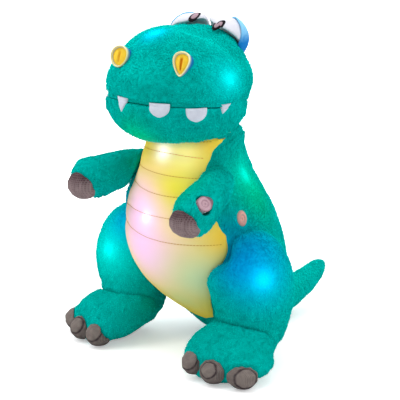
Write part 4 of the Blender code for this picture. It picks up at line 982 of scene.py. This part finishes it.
def makeBelly(torso):
    tree = joinedTree(torso)
    tall = belly["top"] - belly["bottom"]
    front, back = [], []
    for j in range(belly["up"] + 1):
        share = j / belly["up"]
        z = belly["bottom"] + share * tall
        half = outlineAt(share) * belly["halfWidth"]
        far, near = bellySides(z, half)
        frontRow, backRow = [], []
        for i in range(belly["across"] + 1):
            side = 2 * i / belly["across"] - 1
            x = side * (far if side < 0 else near)
            inset = min(half * (1 - abs(side)), share * tall, (1 - share) * tall)
            rim = eased(inset, 0.0, belly["edge"])
            puff = belly["puff"] * rowDepth(z, x) * eased(inset, 0.0, 3 * belly["edge"])
            ground, normal = bellyGround(tree, x, z)[:2]
            frontRow.append(ground + normal * (belly["lift"] * (0.35 + 0.65 * rim) + puff))
            backRow.append(ground - normal * belly["under"])
        front.append(frontRow)
        back.append(backRow)
    return linked("belly_plush", slabMesh("belly", front, back))


bellyPiece = makeBelly(stuffed["torso"])
print("belly panel quilted")


# Geometry Nodes: stitches along a line

def makeStitchTree():
    tree, given, out = newTree("stitchRow", "GeometryNodeTree", {
        "Geometry": "Geometry", "Pitch": "Float", "Stitch Length": "Float", "Thread Width": "Float",
        "Thread": "Material"}, {"Geometry": "Geometry"})
    line = addNode(tree, "GeometryNodeMeshToCurve", {"Mesh": given["Geometry"]})
    points = addNode(
        tree, "GeometryNodeCurveToPoints", {"Curve": line.outputs["Curve"], "Length": given["Pitch"]},
        mode="LENGTH").outputs
    turn = addNode(tree, "FunctionNodeAlignRotationToVector", {"Vector": points["Tangent"]}, axis="Z")
    thread = addNode(tree, "GeometryNodeMeshUVSphere", {"Segments": 6, "Rings": 5, "Radius": 0.5})
    size = addNode(tree, "ShaderNodeCombineXYZ", {
        "X": given["Thread Width"], "Y": given["Thread Width"], "Z": given["Stitch Length"]})
    stitches = addNode(tree, "GeometryNodeInstanceOnPoints", {
        "Points": points["Points"], "Instance": thread.outputs["Mesh"],
        "Rotation": turn.outputs["Rotation"], "Scale": size.outputs[0]})
    real = addNode(tree, "GeometryNodeRealizeInstances", {"Geometry": stitches.outputs["Instances"]})
    paint = addNode(tree, "GeometryNodeSetMaterial", {
        "Geometry": real.outputs["Geometry"], "Material": given["Thread"]})
    feed(tree, out["Geometry"], paint.outputs["Geometry"])
    return tree


stitchTree = makeStitchTree()


def stitched(name, lines, stitch, thread):
    # lines of points, each becoming a row of stitches
    points, edges = [], []
    for line in lines:
        start = len(points)
        points += [tuple(point) for point in line]
        edges += [(start + i, start + i + 1) for i in range(len(line) - 1)]
    mesh = bpy.data.meshes.new(name)
    mesh.from_pydata(points, edges, [])
    made = linked(name, mesh)
    return grown(made, stitchTree, {
        "Pitch": stitch["pitch"], "Stitch Length": stitch["length"],
        "Thread Width": stitch["width"], "Thread": finishes[thread]})


def bellySeams():
    tree = joinedTree(bellyPiece)
    lines = []
    for row in bellyRows:
        share = (row[0] - belly["bottom"]) / (belly["top"] - belly["bottom"])
        far, near = bellySides(row[0], outlineAt(share) * belly["halfWidth"])
        far, near = far - belly["seamInset"], near - belly["seamInset"]
        line = []
        for i in range(bellyStitch["steps"] + 1):
            x = -far + (far + near) * i / bellyStitch["steps"]
            ground, normal = bellyGround(tree, x, rowHeight(row, x))[:2]
            line.append(ground + normal * bellyStitch["lift"])
        lines.append(line)
    return lines


seams = stitched("belly_seams", bellySeams(), bellyStitch, "ochreThread")
dressed(bellyPiece, "toy", "yellow_plush", "yellowPlush", "belly_panel")
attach(seams, "toy")


# Teeth, pupils, spots and nostrils: cut and sewn to lie on the finished cloth

# Teeth: sideways shift, half width, height, top, tip power, lean
teeth = {
    "tooth_left_1": (0.002, 0.0118, 0.0152, 0.3034, 3.4, 0.0),
    "tooth_left_2": (-0.0018, 0.0116, 0.0152, 0.2984, 3.4, 0.0),
    "tooth_left_3": (-0.0016, 0.0064, 0.01, 0.2996, 1.6, -0.0052),
    "tooth_right_1": (-0.0056, 0.009, 0.016, 0.3048, 1.8, 0.0),
    "tooth_right_2": (-0.007, 0.01, 0.0135, 0.2995, 3.4, 0.0),
    "tooth_right_3": (0.0, 0.0064, 0.0098, 0.2986, 1.6, 0.0052),
}
toothCloth = {
    "rows": 16, "columns": 14, "puff": 0.002, "edge": 0.0003, "under": 0.0006, "tuck": 0.002,
    "tipShare": 0.08, "roundness": 0.72, "ahead": 0.06, "reach": 0.12, "missed": 0.1,
}


def boxMiddle(node):
    corners = [vertex.co for vertex in nodes[node].data.vertices]
    return Vector([(min(c[k] for c in corners) + max(c[k] for c in corners)) / 2 for k in range(3)])


def makeTooth(node, jawTree):
    shift, half, height, top, power, lean = teeth[node]
    rows, columns = toothCloth["rows"], toothCloth["columns"]
    middle = boxMiddle(node)
    out = outFrom(middle)[0]
    side = Vector((-out.y, out.x, 0))
    grid = []
    for j in range(rows + 1):
        v = j / rows
        rounded = (1 - v ** power) ** (toothCloth["roundness"] if power > 3 else 1)
        width = half * max(toothCloth["tipShare"], rounded)
        line = []
        for i in range(columns + 1):
            u = 2 * i / columns - 1
            start = middle + side * (shift + lean * v + u * width) + out * toothCloth["ahead"]
            start.z = top - height * v
            hit = jawTree.ray_cast(start, -out, toothCloth["reach"])
            line.append((start, u, v, toothCloth["missed"] if hit[0] is None else hit[3]))
        grid.append(line)
    nearest = [min(line[i][3] for line in grid) for i in range(columns + 1)]
    front, back = [], []
    for line in grid:
        ground = [
            start - out * min(away, least + toothCloth["tuck"])
            for (start, u, v, away), least in zip(line, nearest)]
        puffs = [
            toothCloth["puff"] * (1 - u ** 4) * (1 - v ** 5) + toothCloth["edge"]
            for start, u, v, away in line]
        front.append([point + out * puff for point, puff in zip(ground, puffs)])
        back.append([point - out * toothCloth["under"] for point in ground])
    made = linked(node + "_felt", slabMesh(node, front, back))
    dressed(made, "toy", "white_felt", "toothFelt", node)
    return made


def ovalAxes(out, along):
    # the way a patch faces, its long axis within its plane and its short axis
    out, along = Vector(out).normalized(), Vector(along)
    along = (along - out * along.dot(out)).normalized()
    return out, along, along.cross(out)


def patchRows(profile, sink, rings=12):
    # from the upper middle over the rim to the under side's middle
    shares = [ring / rings for ring in range(rings + 1)]
    return [(share, profile) for share in shares] + [(share, -sink) for share in reversed(shares)]


patchRay = {"ahead": 0.012, "reach": 0.03}


def ovalPiece(name, centre, facing, halves, rows, mask, tree=None, around=44, pinch=0.0):
    # a closed oval piece: rows of radius share and height along its axis, from middle to middle;
    # mask is its darkness, and a tree is the cloth it lies on
    centre, (out, along, aside) = Vector(centre), ovalAxes(*facing)
    shape, values = bmesh.new(), []

    def added(share, turn, height):
        u, v = math.cos(turn) * share, math.sin(turn) * share
        point = centre + aside * (halves[0] * u * (1 + pinch * v)) + along * (halves[1] * v)
        start = point + out * patchRay["ahead"]
        hit = tree.ray_cast(start, -out, patchRay["reach"]) if tree else (None,)
        high = height(u, v) if callable(height) else height
        values.append(mask(u, v, high))
        return shape.verts.new((hit[0] or point) + out * high)

    first, last = added(0, 0, rows[0][1]), added(0, 0, rows[-1][1])
    circles = [
        [added(share, 2 * math.pi * i / around, height) for i in range(around)]
        for share, height in rows[1:-1]]
    for i in range(around):
        k = (i + 1) % around
        shape.faces.new((first, circles[0][i], circles[0][k]))
        shape.faces.new((last, circles[-1][k], circles[-1][i]))
        for inner, outer in zip(circles, circles[1:]):
            shape.faces.new((inner[i], outer[i], outer[k], inner[k]))
    bmesh.ops.recalc_face_normals(shape, faces=shape.faces)
    made = linked(name, shapedMesh(name, shape))
    storeValues(made, "shadeMask", values)
    return made


# Nostrils: middle of the rim, direction, half width and half height, pinch below, painted shade in the slit
nostrils = {
    "left": ((0.0499, -0.1452, 0.3462), (0.314, -0.886, 0.342), (0.0092, 0.0138), 0.46, 1.0),
    "right": ((-0.0308, -0.1585, 0.3465), (0.2, -0.92, 0.34), (0.0108, 0.0122), 0.12, 0.35),
}
# Section of the cup, as shares of its rim and lengths along its axis
cupRows = (
    (0.0, -0.0046), (0.72, -0.0044), (0.84, -0.0024), (0.89, -0.0004), (0.93, 0.0003), (0.97, 0.0001),
    (1.0, -0.001), (1.0, -0.003), (0.97, -0.008), (0.92, -0.014), (0.0, -0.015),
)
# Painted shade inside the cup by depth, and the lining's share of the rim, bulge and slit
nostrilCloth = {
    "dark": 0.95, "darkDepths": (-0.0042, -0.0012), "depth": 0.0032, "share": (0.84, 0.85),
    "bulge": 0.0026, "dent": (0.02, 0.3), "slitWidth": (0.06, 0.26), "slitHeight": (0.35, 0.75),
    "plain": 0.12, "under": 0.0009,
}


def makeNostril(side):
    centre, out, halves, pinch, slit = nostrils[side]
    facing, out = (out, (0, 0, 1)), Vector(out)
    # the cup goes from its cream rim to the blue of its wall, partly the wall's own blue and partly painted
    # shade deepening in the hollow
    cup = ovalPiece(
        "cup_" + side, centre, facing, halves, cupRows,
        lambda u, v, high: nostrilCloth["dark"] * (
            1 - eased(high * out.length, *nostrilCloth["darkDepths"])),
        around=48, pinch=pinch)
    dressed(cup, "toy", "cup_cloth", "cupCloth", "nostril_cup_" + side)

    def bulge(u, v):
        dent = 0.35 + 0.65 * eased(abs(u), *nostrilCloth["dent"])
        return nostrilCloth["bulge"] * (1 - u * u - v * v) * dent

    # painted shade along the lining's slit, darkest at its middle; the whole lining a little towards amber
    def slitShade(u, v, _):
        narrow = 1 - eased(abs(u), *nostrilCloth["slitWidth"])
        return nostrilCloth["plain"] + slit * narrow * (1 - eased(abs(v), *nostrilCloth["slitHeight"]))

    lining = ovalPiece(
        "lining_" + side, Vector(centre) - out.normalized() * nostrilCloth["depth"], facing,
        [half * share for half, share in zip(halves, nostrilCloth["share"])],
        patchRows(bulge, nostrilCloth["under"], 14), slitShade, around=56, pinch=pinch)
    dressed(lining, "toy", "yellow_plush", "liningCloth", "nostril_lining_" + side)
    return [cup, lining]


# Pupils: middle, direction, the way their long axis points, half width and half height
pupils = {
    "left": ((0.0192, -0.0522, 0.3741), (0.254, -0.757, 0.6), (0.36, 0.651, 0.669), (0.0046, 0.0088)),
    "right": ((-0.0205, -0.048, 0.3785), (0.56, -0.335, 0.757), (-0.046, 1.086, 0.514), (0.0046, 0.01)),
}
pupilCloth = {"puff": 0.0011, "edge": 0.0004, "under": 0.0008, "outline": (0.56, 0.66)}


def makePupil(side, eyeTree):
    centre, out, along, halves = pupils[side]
    made = ovalPiece(
        "pupil_cloth_" + side, centre, (out, along), halves,
        patchRows(
            lambda u, v: pupilCloth["puff"] * (1 - (u * u + v * v)) + pupilCloth["edge"],
            pupilCloth["under"]),
        lambda u, v, _: eased(math.hypot(u, v), *pupilCloth["outline"]), eyeTree)
    dressed(made, "toy", "pupil_print", "pupilThread", "pupil_" + side)
    return made


# Spots: body, finish, direction, half width and half height, lift, depth of the under side
spots = {
    "arm_spot": ("button", "spotCloth", (0.8475, -0.116, 0.518), (0.0095, 0.0086), 0.0008, 0.0006),
    "flank_spot": ("toy", "flankCloth", None, (0.0064, 0.009), 0.0012, 0.002),
}
# Their darkness at the rim, on a ring halfway out and in the middle, and their stitched waves
spotCloth = {
    "rim": (0.78, 0.96), "ringAt": 0.45, "ring": (0.04, 0.14), "middle": (0.04, 0.16),
    "waves": 11, "waveHeight": 0.0003, "edge": 0.0004,
}


def spotShade(u, v, _):
    away = math.hypot(u, v)
    ring = 1 - eased(abs(away - spotCloth["ringAt"]), *spotCloth["ring"])
    middle = 1 - eased(away, *spotCloth["middle"])
    return 0.6 * eased(away, *spotCloth["rim"]) + 0.4 * ring + 0.5 * middle


def makeSpot(node, clothTree):
    body, finish, out, halves, lift, sink = spots[node]
    middle = boxMiddle(node)
    if out is None:
        out = clothTree.find_nearest(middle)[1]

    def domed(u, v):
        away = math.hypot(u, v)
        wave = spotCloth["waveHeight"] * math.cos(spotCloth["waves"] * away)
        return lift * (1 - away ** 6) + wave + spotCloth["edge"]

    made = ovalPiece(
        node + "_cloth", middle, (out, (0, 0, 1)), halves, patchRows(domed, sink), spotShade, clothTree)
    dressed(made, body, "spot_cloth", finish, node)
    return made


# Eyes, lids, claws and paws: small stuffed pieces from the frame's own shapes
# node: body, finish, slot, voxel, smoothing rounds
smallPieces = {
    "eye_left": ("toy", "whiteFelt", "white_felt", 0.002, 5),
    "eye_right": ("toy", "whiteFelt", "white_felt", 0.002, 5),
    "eyelid_left": ("toy", "lidCloth", "lid_cloth", 0.0009, 3),
    "eyelid_right": ("toy", "lidCloth", "lid_cloth", 0.0009, 3),
    "paw_left": ("arm_left", "pawVelboa", "claw_velboa", 0.001, 3),
    "paw_right": ("arm_right", "pawVelboa", "claw_velboa", 0.001, 3),
}
for name in nodes:
    if name.startswith("claw_"):
        smallPieces[name] = ("toy", "clawVelboa", "claw_velboa", 0.001, 4)
# The direction each claw's sewn pad faces, and the pad's seam, with painted shade in its crease and near the
# floor
padAxes = {"claw_left_middle": (0.2, -0.8, 0.55), "claw_left_outer": (0.7, -0.5, 0.1)}
padSeam = {
    "axis": (0.0, -0.8, 0.6), "angle": 1.0, "width": 0.16, "depth": 0.0007, "blend": 0.1,
    "floorShadeHeight": 0.01,
}
# Finger seams sewn into the paws: points, half width, depth
pawSeams = {
    "paw_left": (
        (((0.0705, -0.19, 0.19), (0.0715, -0.184, 0.166)), 0.0024, 0.0016),
        (((0.08, -0.192, 0.19), (0.0805, -0.184, 0.164)), 0.0024, 0.0018),
        (((0.089, -0.186, 0.19), (0.089, -0.178, 0.166)), 0.0024, 0.0016),
    ),
    "paw_right": (
        (((-0.0815, -0.186, 0.206), (-0.0805, -0.18, 0.182)), 0.0022, 0.0014),
        (((-0.0725, -0.19, 0.206), (-0.072, -0.182, 0.18)), 0.0024, 0.0016),
        (((-0.0635, -0.188, 0.206), (-0.0635, -0.18, 0.182)), 0.0022, 0.0014),
    ),
}
# Heights over which lids and paws get painted shade, a paw's from its top, and the eyes are drawn down
lidShade = (0.347, 0.371)
pawShade = {"dark": 0.5, "start": 0.016, "end": 0.003}
eyeDrop = {"depth": 0.011, "heights": (0.344, 0.368), "sides": (0.02, 0.03)}


def padSewn(made, node):
    axis = Vector(padAxes.get(node, padSeam["axis"]))
    middle = boxMiddle(node)
    angle, low = padSeam["angle"], min(vertex.co.z for vertex in made.data.vertices)
    rings, masks = [], []
    for vertex in made.data.vertices:
        turn = (vertex.co - middle).angle(axis)
        ring = 1 - eased(abs(turn - angle), 0, padSeam["width"])
        around = eased(turn, angle - padSeam["blend"], angle + padSeam["blend"])
        ground = 1 - eased(vertex.co.z, low, low + padSeam["floorShadeHeight"])
        rings.append(ring)
        # painted shade in the seam's crease and near the floor, and the claw a little darker beyond its pad
        masks.append(min(1, 0.5 * ring + 0.15 * around + 0.3 * ground))
    moveOut(made, [-padSeam["depth"] * ring for ring in rings])
    storeValues(made, "shadeMask", masks)


def eyeLowered(made):
    # the lower edge of an eye reaches down to the pressed brow, less on the near eye's outer side
    for vertex in made.data.vertices:
        low = 1 - eased(vertex.co.z, *eyeDrop["heights"])
        vertex.co.z -= eyeDrop["depth"] * low * (1 - eased(vertex.co.x, *eyeDrop["sides"]))
    made.data.update()


def makeSmall():
    made = {}
    for node, (body, finish, slot, voxel, rounds) in smallPieces.items():
        piece = mergedCopy(node, node + "_cloth")
        remeshed(piece, voxel, rounds)
        heights = [vertex.co.z for vertex in piece.data.vertices]
        if node.startswith("claw_"):
            padSewn(piece, node)
        elif node.startswith("paw_"):
            pressed(piece, pawSeams[node])
            # painted shade: each paw darker towards its top, where it meets the arm
            start, end = max(heights) - pawShade["start"], max(heights) - pawShade["end"]
            storeValues(piece, "shadeMask", [pawShade["dark"] * eased(z, start, end) for z in heights])
        elif node.startswith("eyelid_"):
            # painted shade: the lid turns deeper blue towards its lower edge
            storeValues(piece, "shadeMask", [1.0 - eased(z, *lidShade) for z in heights])
        else:
            eyeLowered(piece)
        nudged(piece, nudges.get(node, ()))
        dressed(piece, body, slot, finish, node)
        made[node] = piece
    jawTree = joinedTree(stuffed["lower_jaw"])
    for node in teeth:
        made[node] = makeTooth(node, jawTree)
    for side in ("left", "right"):
        made["nostril_cup_" + side], made["nostril_lining_" + side] = makeNostril(side)
        made["pupil_" + side] = makePupil(side, joinedTree(made["eye_" + side]))
    made["arm_spot"] = makeSpot("arm_spot", joinedTree(nodes["arm_spot"], stuffed["arm_left"]))
    made["flank_spot"] = makeSpot("flank_spot", joinedTree(stuffed["torso"]))
    return made


small = makeSmall()
print("small sewn pieces made:", len(small))


# The pile is grown last, clear of everything sewn on the cloth

def growPile(node, covers):
    comb, length = stuffedPieces[node][4:]
    made = stuffed[node]
    others = joinedTree(*(stuffed[name] for name in stuffed if name != node))
    values = []
    for vertex in made.data.vertices:
        where, out = vertex.co, vertex.normal
        grow = eased(min(others.find_nearest(where)[3], max(0.0, where.z)), *pileClear["cloth"])
        if node in ("head", "lower_jaw"):
            grow = max(grow, onGroove(vertex))
        grow *= eased(covers.find_nearest(where)[3], *pileClear["covers"])
        if covers.ray_cast(where - out * pileClear["below"], out, pileClear["above"])[0] is not None:
            grow = 0.0
        values.append(grow)
    storeValues(made, "pileGrow", values)
    return {
        **pile, "Tuft Length": length, "Comb": comb, "Seed": list(stuffedPieces).index(node) + 1,
        "Cloth": finishes["tealPlush"]}


def growAll():
    covers = joinedTree(*small.values(), bellyPiece)
    plans = {node: growPile(node, covers) for node in stuffed}
    for node, made in stuffed.items():
        grown(made, pileTree, plans[node])
        dressed(made, stuffedPieces[node][0], "teal_plush", "tealPlush", node)
        print(node, "pile grown,", len(made.data.polygons), "faces")


growAll()

for start, finish in {**insideFinishes, **backFinishes}.items():
    for name in nodes:
        if name.startswith(start):
            nodes[name].data.materials.clear()
            nodes[name].data.materials.append(finishes[finish])
print("CAD nodes finished")
